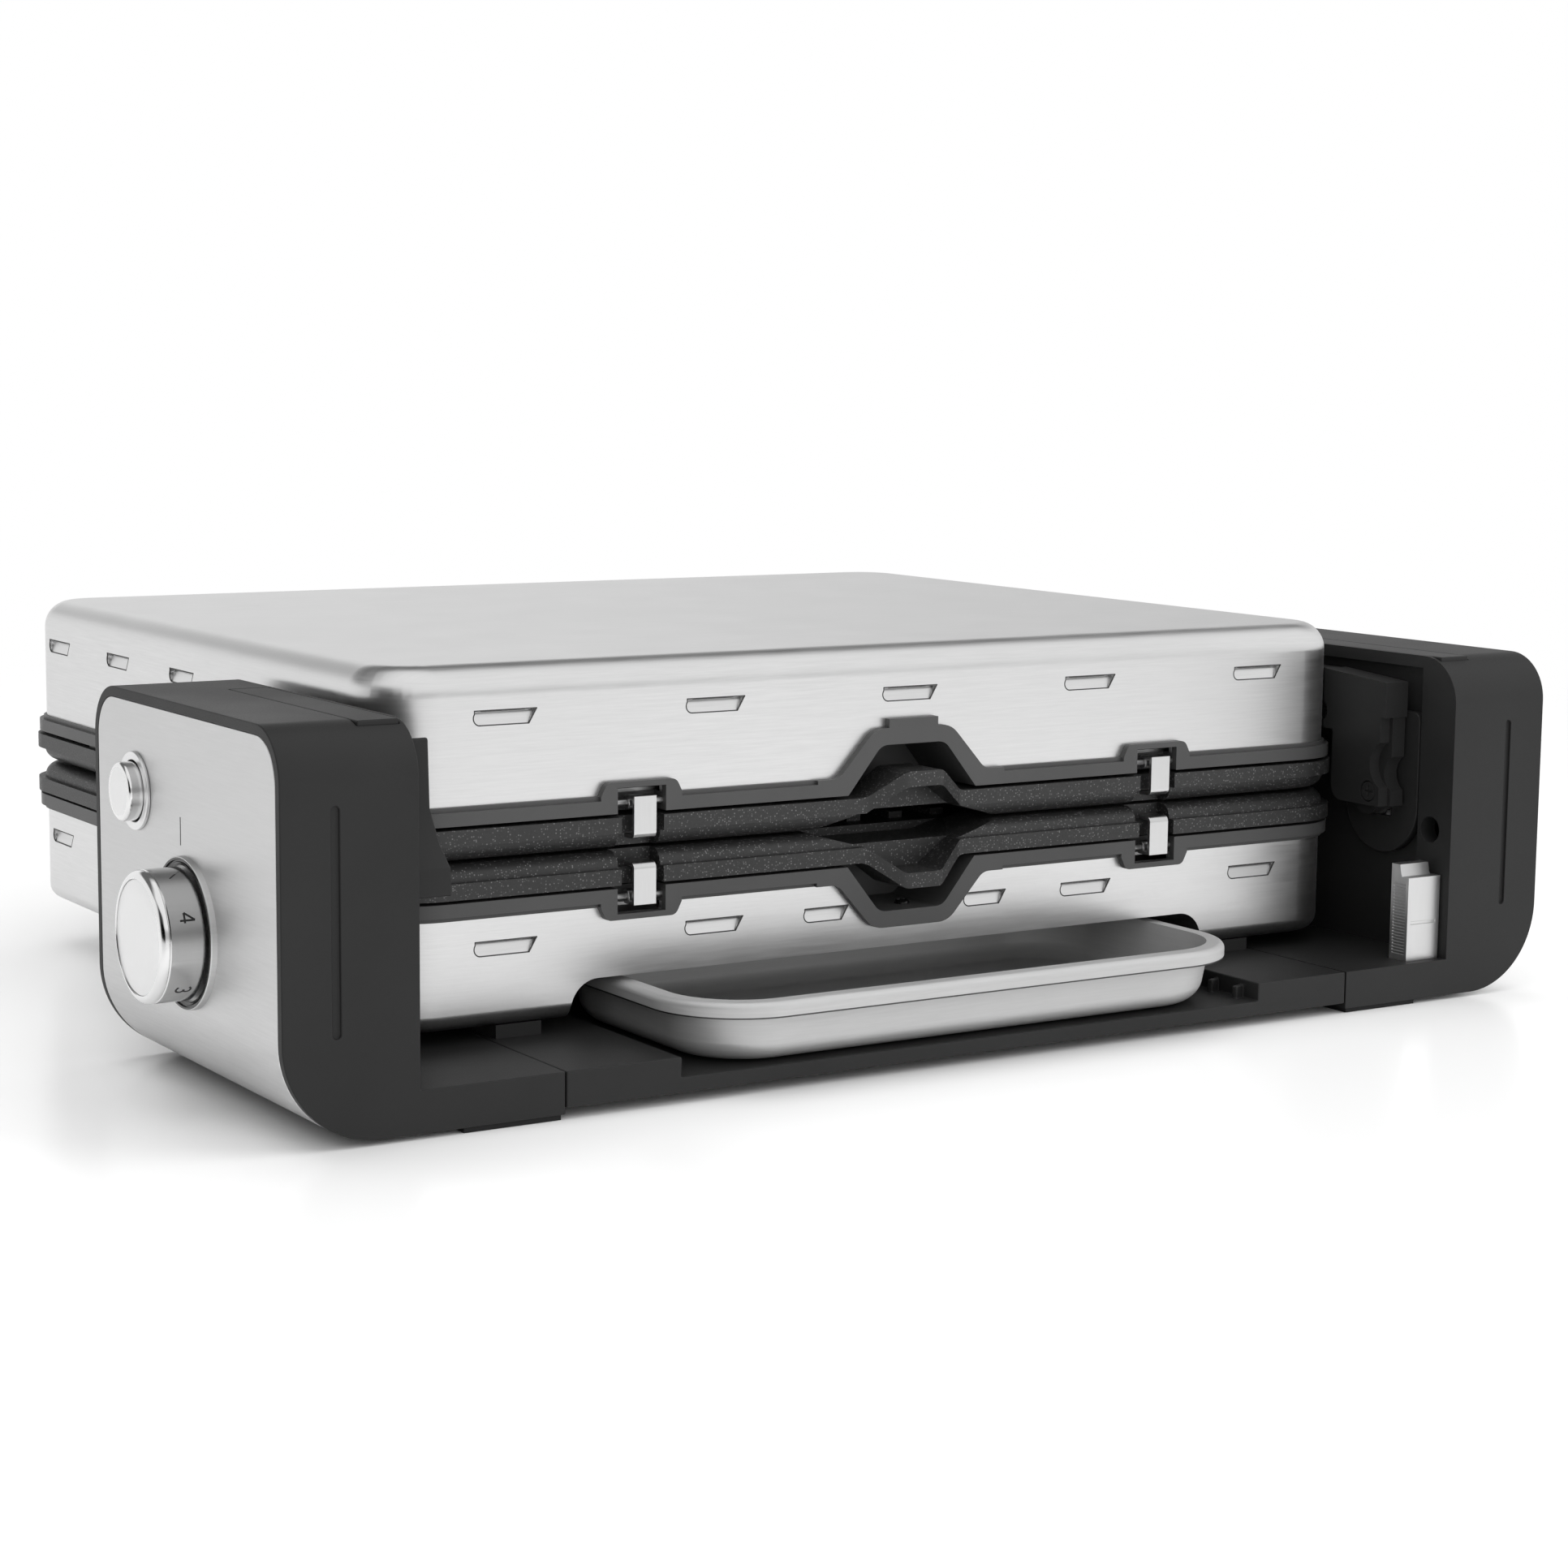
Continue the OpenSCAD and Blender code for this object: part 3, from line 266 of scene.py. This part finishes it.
STEEL = brushed("brushed_steel", 0.74, 0.33, edge=0.97)
PANEL = brushed("brushed_panel", 0.70, 0.42, 0.8, 0.35)
TRAY = brushed("brushed_tray", 0.47, 0.52, 1.1, metal=0.45)
# The tray's rim: smoother than the walls, and a brighter tone that paints its highlight
TRAY_RIM_PAINTED_HIGHLIGHT = brushed("tray_rim_painted_highlight", 0.66, 0.27, 0.8)
# Dark finish that paints shade along the vents' edges and under the tray's rim
PAINTED_SHADE = brushed("painted_shade_edges", 0.10, 0.45, 0.5)
KNOB = brushed("brushed_knob", 0.62, 0.15, 0.7, 0.6, edge=0.9)
DARK = moulded("charcoal_plastic", 0.014, 0.50, 0.26)
RIM = moulded("rim_plastic", 0.048, 0.42, 0.45)
GLOSS = moulded("gloss_plastic", 0.004, 0.16, 0.40, depth=0.00001)
COAT = speckled("nonstick_coat", 0.014, 0.46)
CLIP = brushed("satin_clip", 0.66, 0.30, 0.5, 0.4, vertical=True)
LATCH = brushed("satin_latch", 0.70, 0.38, 0.5, 0.2, vertical=True)
CHROME = polished("polished_steel", 0.78, 0.07)
DISC = polished("satin_disc", 0.78, 0.34, 0.6)
PLAIN = polished("plain_alloy", 0.42, 0.36, 1.4)
RUBBER = moulded("pad_rubber", 0.010, 0.75, 0.3, 1500.0, 0.00008)
INK = printed("dial_ink", 0.006)


# Softened copies of the solids

SLOTS = {part["node"]: part["material_slot"] for part in frame["record"]["subparts"]}


def make_mesh(name, points, faces, materials, slots=(), weld=0.0, crease=0.0):
    """A closed mesh with outward normals. Points nearer than weld are joined.
    A crease angle in degrees makes the mesh smooth, with sharper edges kept."""
    mesh = bpy.data.meshes.new(name)
    mesh.from_pydata(points, [], faces)
    for material in materials:
        mesh.materials.append(material)
    if slots:
        mesh.polygons.foreach_set("material_index", slots)
    form = bmesh.new()
    form.from_mesh(mesh)
    if weld:
        bmesh.ops.remove_doubles(form, verts=form.verts, dist=weld)
    bmesh.ops.recalc_face_normals(form, faces=form.faces)
    form.to_mesh(mesh)
    form.free()
    if crease:
        mesh.polygons.foreach_set("use_smooth", [True] * len(mesh.polygons))
        mesh.set_sharp_from_angle(angle=math.radians(crease))
    return mesh


def add_piece(name, mesh, node):
    """A new piece that rides with a node."""
    piece = bpy.data.objects.new(name, mesh)
    scene.collection.objects.link(piece)
    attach(piece, nodes[node]["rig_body"])
    return piece


def within(point, low, high):
    return all(a <= c <= b for a, c, b in zip(low, point, high))


def draft(form, node, rim, inset):
    """Leans the walls below a rim inward, by inset at the bottom."""
    low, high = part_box(node)
    middle = (low + high) / 2
    edge = high.z - rim
    for vert in form.verts:
        lean = inset * max(0.0, edge - vert.co.z) / (edge - low.z)
        vert.co.x -= math.copysign(lean, vert.co.x - middle.x)
        vert.co.y -= math.copysign(lean, vert.co.y - middle.y)


# Points nearer than this are one, faces flatter than this are one, edges sharper than this are rounded
WELD = 0.002 * MM
FLAT = math.radians(0.6)
BEVEL_FROM = math.radians(34.0)


def soften(node, width, material, zones=(), merge=True, lean=None):
    """A copy of a solid with rounded edges in its place.
    Faces centred in a zone's box take the zone's finish. Flat faces are merged first, except
    where they are full of cuts. lean is the rim and inset of leaning walls."""
    mesh = bpy.data.meshes.new(node + "_soft")
    form = bmesh.new()
    form.from_mesh(nodes[node].data)
    bmesh.ops.remove_doubles(form, verts=form.verts, dist=WELD)
    if merge:
        bmesh.ops.dissolve_limit(form, angle_limit=FLAT, verts=form.verts, edges=form.edges)
    if lean:
        draft(form, node, *lean)
    for face in form.faces:
        face.smooth = True
        face.material_index = 0
        for i, (low, high, _) in enumerate(zones):
            if within(face.calc_center_bounds(), low, high):
                face.material_index = i + 1
    form.to_mesh(mesh)
    form.free()
    if "custom_normal" in mesh.attributes:
        mesh.attributes.remove(mesh.attributes["custom_normal"])
    mesh.materials.clear()
    for finish in (material, *(zone[2] for zone in zones)):
        mesh.materials.append(finish)
    piece = add_piece(node + "_soft", mesh, node)
    bevel = piece.modifiers.new("edges", "BEVEL")
    bevel.width = width
    bevel.segments = 2
    bevel.limit_method = "ANGLE"
    bevel.angle_limit = BEVEL_FROM
    bevel.use_clamp_overlap = True
    bevel.miter_outer = "MITER_ARC"
    evened = piece.modifiers.new("shading", "WEIGHTED_NORMAL")
    evened.weight = 80
    evened.keep_sharp = True
    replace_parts(piece, node)


# Turned pieces and printed marks of the controls; h is the distance from the side panel

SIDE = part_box("panel_left")[0].x


def axis_of(node):
    low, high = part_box(node)
    return (low.y + high.y) / 2, (low.z + high.z) / 2


def turned(name, node, rings, materials, steps=120):
    """A turned piece in place of a control: rings are (radius, h, material of the band that follows)."""
    y, z = axis_of(node)
    points, faces, slots = [], [], []
    for radius, h, _ in rings:
        for k in range(steps):
            a = 2 * math.pi * k / steps
            points.append((SIDE - h, y + radius * math.cos(a), z + radius * math.sin(a)))
    count = len(rings)
    for i in range(count):
        for k in range(steps):
            j, m = (i + 1) % count, (k + 1) % steps
            faces.append((i * steps + k, i * steps + m, j * steps + m, j * steps + k))
            slots.append(rings[i][2])
    mesh = make_mesh(name, points, faces, materials, slots, weld=1e-7, crease=35)
    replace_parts(add_piece(name, mesh, node), node)


def arc(centre, radius, first, last, steps=10):
    """Flat points on an arc, angles in degrees from the first axis."""
    turns = [math.radians(first + (last - first) * k / steps) for k in range(steps + 1)]
    return [(centre[0] + radius * math.cos(t), centre[1] + radius * math.sin(t)) for t in turns]


def dress_dial():
    """The knob with its bright front edge, the ring around it and the disc in its front."""
    knob = (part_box("dial_knob")[1].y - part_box("dial_knob")[0].y) / 2
    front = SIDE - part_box("dial_knob")[0].x
    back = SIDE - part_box("dial_knob")[1].x
    edge = 2.3 * MM
    lip = knob - edge
    bore = 3.0 * MM
    chamfer = 0.3 * MM
    well = front - 0.7 * MM
    rings = [(bore, back, 0), (knob - chamfer, back, 0), (knob, back + chamfer, 0),
             (knob, front - edge - 0.5 * MM, 1), (knob - 0.25 * MM, front - edge - 0.25 * MM, 1)]
    rings += [(r, h, 1) for r, h in arc((lip, front - edge), edge, 4, 90, 8)]
    rings += [(lip - 0.15 * MM, front - 0.15 * MM, 1), (lip - 0.2 * MM, well, 0), (bore, well, 0)]
    turned("dial_barrel", "dial_knob", rings, (KNOB, CHROME))
    ring = (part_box("dial_bezel")[1].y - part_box("dial_bezel")[0].y) / 2
    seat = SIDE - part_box("dial_bezel")[1].x
    inner, proud = knob + 0.5 * MM, 1.8 * MM
    groove = proud - 0.5 * MM
    rings = [(inner, seat, 0), (ring, seat, 1)]
    rings += [(r, h, 1) for r, h in arc((ring - chamfer, proud - chamfer), chamfer, 0, 60, 3)]
    rings += [(ring - chamfer, proud, 0), (ring - 0.9 * MM, proud, 0), (ring - 1.1 * MM, groove, 0),
              (ring - 1.4 * MM, groove, 0), (ring - 1.6 * MM, proud - 0.1 * MM, 0),
              (inner, proud - 0.4 * MM, 0)]
    turned("dial_ring", "dial_bezel", rings, (GLOSS, PANEL))
    disc = lip - 0.25 * MM
    floor = front - 0.75 * MM
    turned("dial_disc", "dial_cap", [
        (0, floor, 0), (disc, floor, 0), (disc, front - 0.35 * MM, 0),
        (disc - 0.5 * MM, front - 0.16 * MM, 0), (disc * 0.7, front - 0.07 * MM, 0),
        (disc * 0.35, front - 0.02 * MM, 0), (0, front, 0)], (DISC,))


def dress_button():
    """The push button, with a bent edge and a slightly domed front."""
    low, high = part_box("power_button")
    push = (high.y - low.y) / 2
    top, foot = SIDE - low.x, SIDE - high.x
    bend = 1.1 * MM
    rings = [(0, foot, 0), (push, foot, 0), (push, top - bend, 0)]
    rings += [(r, h, 0) for r, h in arc((push - bend, top - bend - 0.05 * MM), bend, 0, 80, 6)]
    rings += [(push - 1.6 * MM, top - 0.03 * MM, 1), (push - 3.0 * MM, top - 0.01 * MM, 1), (0, top, 1)]
    turned("button_form", "power_button", rings, (CHROME, DISC))


def stepped(line, step=0.25 * MM):
    """The same line with a point at least every step."""
    points = [line[0]]
    for (u0, v0), (u1, v1) in zip(line, line[1:]):
        count = max(1, math.ceil(math.hypot(u1 - u0, v1 - v0) / step))
        points += [(u0 + (u1 - u0) * k / count, v0 + (v1 - v0) * k / count) for k in range(1, count + 1)]
    return points


def inked(name, node, lines, width, place):
    """Printed strokes on a node: a line is a row of flat points, laid on a surface by place(u, v, lift)."""
    proud, sunk = 0.03 * MM, -0.05 * MM
    points, faces = [], []
    for line in map(stepped, lines):
        base = len(points)
        for i, (u, v) in enumerate(line):
            before, after = line[max(i - 1, 0)], line[min(i + 1, len(line) - 1)]
            du, dv = after[0] - before[0], after[1] - before[1]
            size = math.hypot(du, dv)
            nu, nv = -dv / size * width / 2, du / size * width / 2
            for side, lift in ((1, proud), (-1, proud), (-1, sunk), (1, sunk)):
                points.append(place(u + side * nu, v + side * nv, lift))
        last = len(line) - 1
        for i in range(last):
            a, b = base + 4 * i, base + 4 * (i + 1)
            for k in range(4):
                m = (k + 1) % 4
                faces.append((a + k, a + m, b + m, b + k))
        faces.append((base + 3, base + 2, base + 1, base))
        end = base + 4 * last
        faces.append((end, end + 1, end + 2, end + 3))
    add_piece(name, make_mesh(name, points, faces, (INK,)), node)


# Digits as strokes: u to the right, v up, in mm, middle at zero
DIGITS = {
    "1": [[(-0.9, 1.3), (0.1, 2.1), (0.1, -2.1)]],
    "2": [arc((0, 0.95), 1.15, 170, -35) + [(-1.2, -2.1)], [(-1.2, -2.1), (1.25, -2.1)]],
    "3": [arc((0, 1.05), 1.05, 150, -90), arc((0, -0.95), 1.15, 90, -150)],
    "4": [[(0.75, -2.1), (0.75, 2.1)], [(0.75, 2.1), (-1.4, -0.75)], [(-1.4, -0.75), (1.5, -0.75)]],
}
DIGIT_ANGLES = {"4": 24.0, "3": -44.0, "2": -112.0, "1": 180.0}


def mark_dial():
    y, z = axis_of("dial_knob")
    radius = (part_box("dial_knob")[1].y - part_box("dial_knob")[0].y) / 2
    middle = 6.8 * MM

    def on_barrel(angle):
        def place(u, v, lift):
            a = math.radians(angle) - u / radius
            reach = radius + lift
            return (SIDE - middle + v, y - reach * math.cos(a), z + reach * math.sin(a))
        return place

    for digit, angle in DIGIT_ANGLES.items():
        lines = [[(u * MM, v * MM) for u, v in line] for line in DIGITS[digit]]
        inked("dial_digit_" + digit, "dial_knob", lines, 0.56 * MM, on_barrel(angle))
    tick = [(1.0 * MM, -1.1 * MM), (0, 0), (-1.0 * MM, 1.1 * MM)]
    inked("dial_tick", "dial_knob", [tick], 0.36 * MM, on_barrel(69.0))
    half, across, above = 3.9 * MM, 4.2 * MM, 27.6 * MM
    inked("panel_line", "panel_left", [[(0, -half), (0, 0), (0, half)]], 0.55 * MM,
          lambda u, v, lift: (SIDE - lift, y + across + u, z + above + v))


# Pouring spouts: a pocket in the front of each rim, reaching in from the rim's face
SPOUT_HALF, SPOUT_RISE, SPOUT_DEPTH, LIP = 23.5 * MM, 14.6 * MM, 24 * MM, 2.4 * MM
MIDDLE = (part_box("lower_rim")[0].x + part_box("lower_rim")[1].x) / 2
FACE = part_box("lower_rim")[0].y


def pocket(low_z, high_z):
    """The zone of a pocket's walls."""
    slack = 0.4 * MM
    return ((MIDDLE - SPOUT_HALF - slack, FACE + LIP + slack, low_z - slack),
            (MIDDLE + SPOUT_HALF + slack, FACE + LIP + SPOUT_DEPTH + slack, high_z + slack), GLOSS)


def cross_screw(name, node, at, radius, height):
    """A pan-head screw with a cross recess, standing on a floor."""
    rings, steps = 12, 72
    slot, reach, depth = 0.17 * radius, 0.62 * radius, 0.55 * height
    points, faces = [], []
    for i in range(rings + 1):
        r = radius * i / rings
        for k in range(steps):
            a = 2 * math.pi * k / steps
            u, v = r * math.cos(a), r * math.sin(a)
            rise = height * math.sqrt(max(0.0, 1 - 0.92 * (r / radius) ** 4))
            if r <= reach and min(abs(u), abs(v)) < slot:
                rise -= depth
            points.append((at[0] + u, at[1] + v, at[2] + rise))
    for k in range(steps):
        a = 2 * math.pi * k / steps
        points.append((at[0] + radius * math.cos(a), at[1] + radius * math.sin(a), at[2]))
    for i in range(rings + 1):
        for k in range(steps):
            m = (k + 1) % steps
            faces.append((i * steps + k, i * steps + m, (i + 1) * steps + m, (i + 1) * steps + k))
    faces.append(tuple((rings + 1) * steps + k for k in range(steps)))
    add_piece(name, make_mesh(name, points, faces, (GLOSS,), weld=1e-6, crease=40), node)


def painted_rim_shadow(name, node, material, rim, corner):
    """A dark strip along the lower edge of a tray's rolled rim, painted shadow of the gap beneath the rim.
    """
    low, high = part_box(node)
    z = high.z - rim
    near, deep, top, foot = 0.1 * MM, 0.9 * MM, 0.1 * MM, -0.45 * MM
    points, faces, steps = [], [], 12
    for inset, rise in ((near, top), (near, foot), (deep, foot), (deep, top)):
        r = corner - inset
        for q, (sx, sy) in enumerate(((1, 1), (-1, 1), (-1, -1), (1, -1))):
            x = high.x - corner if sx > 0 else low.x + corner
            y = high.y - corner if sy > 0 else low.y + corner
            for k in range(steps + 1):
                a = math.radians(90 * (q + k / steps))
                points.append((x + r * math.cos(a), y + r * math.sin(a), z + rise))
    count = 4 * (steps + 1)
    for i in range(4):
        for k in range(count):
            j, m = (i + 1) % 4, (k + 1) % count
            faces.append((i * count + k, i * count + m, j * count + m, j * count + k))
    add_piece(name, make_mesh(name, points, faces, (material,)), node)


# Half the height of a zone around the vents, and the least bend of a pressed edge in radians
VENT_REACH = 2.3 * MM
BEND = 0.2
# Faces of a bar with corners 0-3 at one end and 4-7 at the other
BAR = ((0, 1, 2, 3), (7, 6, 5, 4), (0, 4, 5, 1), (1, 5, 6, 2), (2, 6, 7, 3), (3, 7, 4, 0))


def vent_shade_lines(node, drop, material):
    """Thin dark lines along the pressed edges of the vents in a shell's walls, painted shade of those
    edges.
    """
    low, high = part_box(node)
    near, half, proud, sunk = 0.02 * MM, 0.17 * MM, 0.02 * MM, -0.25 * MM
    form = bmesh.new()
    form.from_mesh(nodes[node].data)
    bmesh.ops.remove_doubles(form, verts=form.verts, dist=WELD)
    points, faces = [], []
    for axis, at, sign in ((0, low.x, -1), (0, high.x, 1), (1, low.y, -1), (1, high.y, 1)):
        out = Vector((0, 0, 0))
        out[axis] = sign
        for edge in form.edges:
            ends = [vert.co for vert in edge.verts]
            on_wall = all(abs(p[axis] - at) < near for p in ends)
            at_vent = all(abs(p.z - high.z + drop) < VENT_REACH for p in ends)
            if not (on_wall and at_vent) or edge.calc_face_angle(0.0) < BEND:
                continue
            along = (ends[1] - ends[0]).normalized()
            side = out.cross(along) * half
            base = len(points)
            for end, push in ((ends[0], -0.5), (ends[1], 0.5)):
                centre = end + along * half * push
                for across, lift in ((1, proud), (-1, proud), (-1, sunk), (1, sunk)):
                    points.append(centre + side * across + out * lift)
            faces += [tuple(base + k for k in ring) for ring in BAR]
    form.free()
    name = node + "_vent_shade_lines"
    add_piece(name, make_mesh(name, points, faces, (material,)), node)


def finish_node(node, material):
    """Gives a solid its finish."""
    data = nodes[node].data
    data.materials.clear()
    data.materials.append(material)


FINISHES = {
    "steel": STEEL, "dark": DARK, "coat": COAT, "bright": CHROME, "alloy": PLAIN, "soft": RUBBER,
}
SPECIAL = {
    "panel_left": PANEL, "panel_right": PANEL, "drip_tray": TRAY, "dial_knob": KNOB, "dial_cap": DISC,
    "lower_rim": RIM, "upper_rim": RIM, "clip_lower_left": CLIP, "clip_lower_right": CLIP,
    "clip_upper_left": CLIP, "clip_upper_right": CLIP, "button_bezel": DISC, "stop_latch": LATCH,
    "dial_bezel": GLOSS, "lower_pin_left": PLAIN, "lower_pin_right": PLAIN,
    "upper_pin_left": PLAIN, "upper_pin_right": PLAIN,
}
# Edge rounding in mm
ROUNDED = {
    "pillar_left": 0.8, "pillar_right": 0.8, "base_plate": 0.5, "panel_left": 0.3, "panel_right": 0.3,
    "cap_left": 0.4, "cap_right": 0.4, "guide_left": 0.5, "guide_right": 0.5, "lower_rim": 0.5,
    "upper_rim": 0.5, "lower_plate": 0.8, "upper_plate": 0.8, "arm_left": 0.5, "arm_right": 0.5,
    "cable_cover": 0.8, "bracket_left": 1.0, "bracket_right": 1.0, "handle_grip": 1.5,
    "stop_latch": 0.08, "drip_tray": 0.5,
    "clip_lower_left": 0.3, "clip_lower_right": 0.3, "clip_upper_left": 0.3, "clip_upper_right": 0.3,
    "button_bezel": 0.35, "lid_shell": 0.06, "lower_shell": 0.06,
    "screw_top_left": 0.2, "screw_top_right": 0.2, "screw_low_left": 0.2, "screw_low_right": 0.2,
}
# Pieces with faces full of cuts, which stay unmerged
FULL_OF_CUTS = ("stop_latch", "lower_plate", "upper_plate")
# Depth of the tray's rolled rim and radius of its corners
TRAY_ROLL, TRAY_CORNER = 4.2 * MM, 28 * MM
# Leaning walls: depth of the rim, inset at the bottom
DRAFTS = {"drip_tray": (TRAY_ROLL, 2.6 * MM)}
RIM_TOP = 54.7 * MM
SPOUT_FLOOR = RIM_TOP - SPOUT_RISE
UPPER_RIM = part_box("upper_rim")[0].z
TAB = ((MIDDLE - 9.2 * MM, FACE - MM, UPPER_RIM + SPOUT_RISE + 4.4 * MM),
       (MIDDLE + 9.2 * MM, FACE + 4 * MM, UPPER_RIM + SPOUT_RISE + 9 * MM), GLOSS)


def vent_walls(node, drop):
    """Boxes just inside the four walls of a shell, at the height of its vents. Faces there take a dark
    finish, painted shade on the vents' sides.
    """
    low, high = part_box(node)
    z = high.z - drop
    near, deep = 0.03 * MM, 0.62 * MM
    spans = (
        ((low.x, low.y + near), (high.x, low.y + deep)),
        ((low.x, high.y - deep), (high.x, high.y - near)),
        ((low.x + near, low.y), (low.x + deep, high.y)),
        ((high.x - deep, low.y), (high.x - near, high.y)),
    )
    return [((*a, z - VENT_REACH), (*b, z + VENT_REACH), PAINTED_SHADE) for a, b in spans]


def top_band(node, height, finish):
    """The zone along the top of a piece."""
    low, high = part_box(node)
    return [((low.x, low.y, high.z - height), (high.x, high.y, high.z + MM), finish)]


# Height of the vents below the top of their shell
VENTS = {"lid_shell": 14.8 * MM, "lower_shell": 8.9 * MM}
ZONES = {
    "lower_rim": [pocket(SPOUT_FLOOR, RIM_TOP)],
    "upper_rim": [pocket(UPPER_RIM, UPPER_RIM + SPOUT_RISE), TAB],
    **{shell: vent_walls(shell, drop) for shell, drop in VENTS.items()},
    # The rim band takes the brighter finish, a painted highlight
    "drip_tray": top_band("drip_tray", TRAY_ROLL + 0.2 * MM, TRAY_RIM_PAINTED_HIGHLIGHT),
}
for name, slot in SLOTS.items():
    finish = SPECIAL.get(name, FINISHES[slot])
    finish_node(name, finish)
    if name in ROUNDED:
        soften(name, ROUNDED[name] * MM, finish, ZONES.get(name, ()), name not in FULL_OF_CUTS,
               DRAFTS.get(name))
dress_dial()
dress_button()
mark_dial()
# Painted shade: dark lines along the vents' edges and a dark strip under the tray's rim
for shell, drop in VENTS.items():
    vent_shade_lines(shell, drop, PAINTED_SHADE)
painted_rim_shadow("tray_rim_painted_shadow", "drip_tray", PAINTED_SHADE, TRAY_ROLL, TRAY_CORNER)
SCREW_AT = (MIDDLE + 3.2 * MM, FACE + 9.7 * MM, SPOUT_FLOOR)
cross_screw("spout_screw", "lower_rim", SCREW_AT, 2.4 * MM, 1.3 * MM)


# Studio and camera

# Dark flags, on the unit sphere: low and high edge along Z, full and gone along Y and along X, depth
FLAGS = (
    ((0.03, 0.30), (-0.62, -0.1), (0.38, 0.62), 0.45),
    ((0.44, 0.88), (0.40, 0.05), (1.1, 1.2), 0.85),
    ((-0.50, 0.30), (0.60, 0.2), (0.84, 0.48), 0.34),
    ((-0.06, 0.60), (-0.10, 0.25), (-0.74, -0.50), 0.95),
)
FLAG_SOFT = 0.06
WORLD_LIGHT = 0.70
# The floor is whole up to the first radius and gone at the second
FLOOR_FADE = (0.45, 1.1)
# Lamps: name, place, target, size in metres, power in watts
LAMPS = (
    ("key", (-1.0, -1.9, 0.9), (0, 0, 0.04), (2.4, 1.2), 13),
    ("fill", (1.7, -1.3, 1.0), (0, 0, 0.06), (1.6, 1.2), 24),
    ("top", (0.0, 0.0, 1.9), (0, 0, 0.06), (2.4, 2.0), 24),
    ("low", (0.35, -1.7, 0.16), (0, -0.1, 0.03), (1.8, 0.28), 6),
)


def make_floor():
    """A pale floor that keeps the shadow and fades out into the background."""
    s = Shader("floor")
    s.set(Roughness=0.22, IOR=1.35)
    tone = s.noise(s.place((3, 3, 3)), 1.0, 2.0, 0.5)
    s.wire(s.mix(tone, grey(0.88), grey(0.91)), s.bsdf.inputs["Base Color"])
    coords = s.add("TexCoord")
    fade = s.span(s.vmath("LENGTH", coords.outputs["Object"]), *FLOOR_FADE, 0.0, 1.0)
    clear = s.add("BsdfTransparent")
    blend = s.add("MixShader")
    s.wire(fade, blend.inputs["Fac"])
    s.wire(s.bsdf.outputs["BSDF"], blend.inputs[1])
    s.wire(clear.outputs["BSDF"], blend.inputs[2])
    s.wire(blend.outputs["Shader"], s.out.inputs["Surface"])
    mesh = bpy.data.meshes.new("floor")
    half = 3.0
    corners = [(-half, -half, 0), (half, -half, 0), (half, half, 0), (-half, half, 0)]
    mesh.from_pydata(corners, [], [(0, 1, 2, 3)])
    mesh.materials.append(s.material)
    floor = bpy.data.objects.new("floor", mesh)
    scene.collection.objects.link(floor)


def make_lamp(name, at, target, size, power):
    """A soft lamp that metal doesn't mirror, because its light would add to the white behind it."""
    data = bpy.data.lights.new(name, "AREA")
    data.shape = "RECTANGLE"
    data.size, data.size_y = size
    data.energy = power
    lamp = bpy.data.objects.new(name, data)
    lamp.location = at
    lamp.rotation_euler = (Vector(target) - Vector(at)).to_track_quat("-Z", "Y").to_euler()
    lamp.visible_glossy = False
    scene.collection.objects.link(lamp)


def make_world():
    """White behind the part for the eye and for gloss, with dark flags that only gloss shows.
    All else gets an even, dimmer light."""
    world = bpy.data.worlds.new("studio")
    scene.world = world
    world.use_nodes = True
    w = Nodes(world.node_tree)
    way = w.add("SeparateXYZ")
    w.wire(w.add("TexCoord").outputs["Generated"], way.inputs["Vector"])
    up = way.outputs["Z"]
    seen = 1.0
    for (low, high), along_y, along_x, depth in FLAGS:
        band = w.math("MULTIPLY", w.span(up, low - FLAG_SOFT, low + FLAG_SOFT, 0.0, 1.0),
                      w.span(up, high - FLAG_SOFT, high + FLAG_SOFT, 1.0, 0.0))
        patch = w.math("MULTIPLY", w.span(way.outputs["Y"], *along_y, 1.0, 0.0),
                       w.span(way.outputs["X"], *along_x, depth, 0.0))
        seen = w.math("SUBTRACT", seen, w.math("MULTIPLY", band, patch))
    level = w.span(up, -0.16, 0.7, 0.80, 1.0)
    path = w.add("LightPath")
    rays = ("Is Camera Ray", "Is Glossy Ray", "Is Transmission Ray")
    eye, gloss, through = (path.outputs[ray] for ray in rays)
    shown = w.math("MAXIMUM", eye, w.math("MAXIMUM", gloss, through))
    kinds = ("Background", "Background", "MixShader", "OutputWorld")
    light, white, blend, out = (w.add(kind) for kind in kinds)
    light.inputs["Strength"].default_value = WORLD_LIGHT
    w.wire(level, light.inputs["Color"])
    w.wire(w.math("MAXIMUM", seen, eye), white.inputs["Color"])
    w.wire(shown, blend.inputs["Fac"])
    w.wire(light.outputs["Background"], blend.inputs[1])
    w.wire(white.outputs["Background"], blend.inputs[2])
    w.wire(blend.outputs["Shader"], out.inputs["Surface"])


def make_camera():
    cy, sy = math.cos(CAMERA_YAW), math.sin(CAMERA_YAW)
    cp, sp = math.cos(CAMERA_PITCH), math.sin(CAMERA_PITCH)
    forward = Vector((sy * cp, cy * cp, -sp))
    right = Vector((cy, -sy, 0))
    up = right.cross(forward)
    cr, sr = math.cos(CAMERA_ROLL), math.sin(CAMERA_ROLL)
    right, up = cr * right + sr * up, cr * up - sr * right
    data = bpy.data.cameras.new("camera")
    data.sensor_width = SENSOR
    data.lens = FOCAL_PX / PHOTO_PX * SENSOR
    data.clip_start, data.clip_end = 0.01, 50.0
    camera = bpy.data.objects.new("camera", data)
    turn = Matrix((right, up, -forward)).transposed().to_4x4()
    camera.matrix_world = Matrix.Translation(CAMERA_AT) @ turn
    scene.collection.objects.link(camera)
    scene.camera = camera


make_floor()
make_world()
for lamp in LAMPS:
    make_lamp(*lamp)
make_camera()
scene.view_settings.view_transform = "Standard"
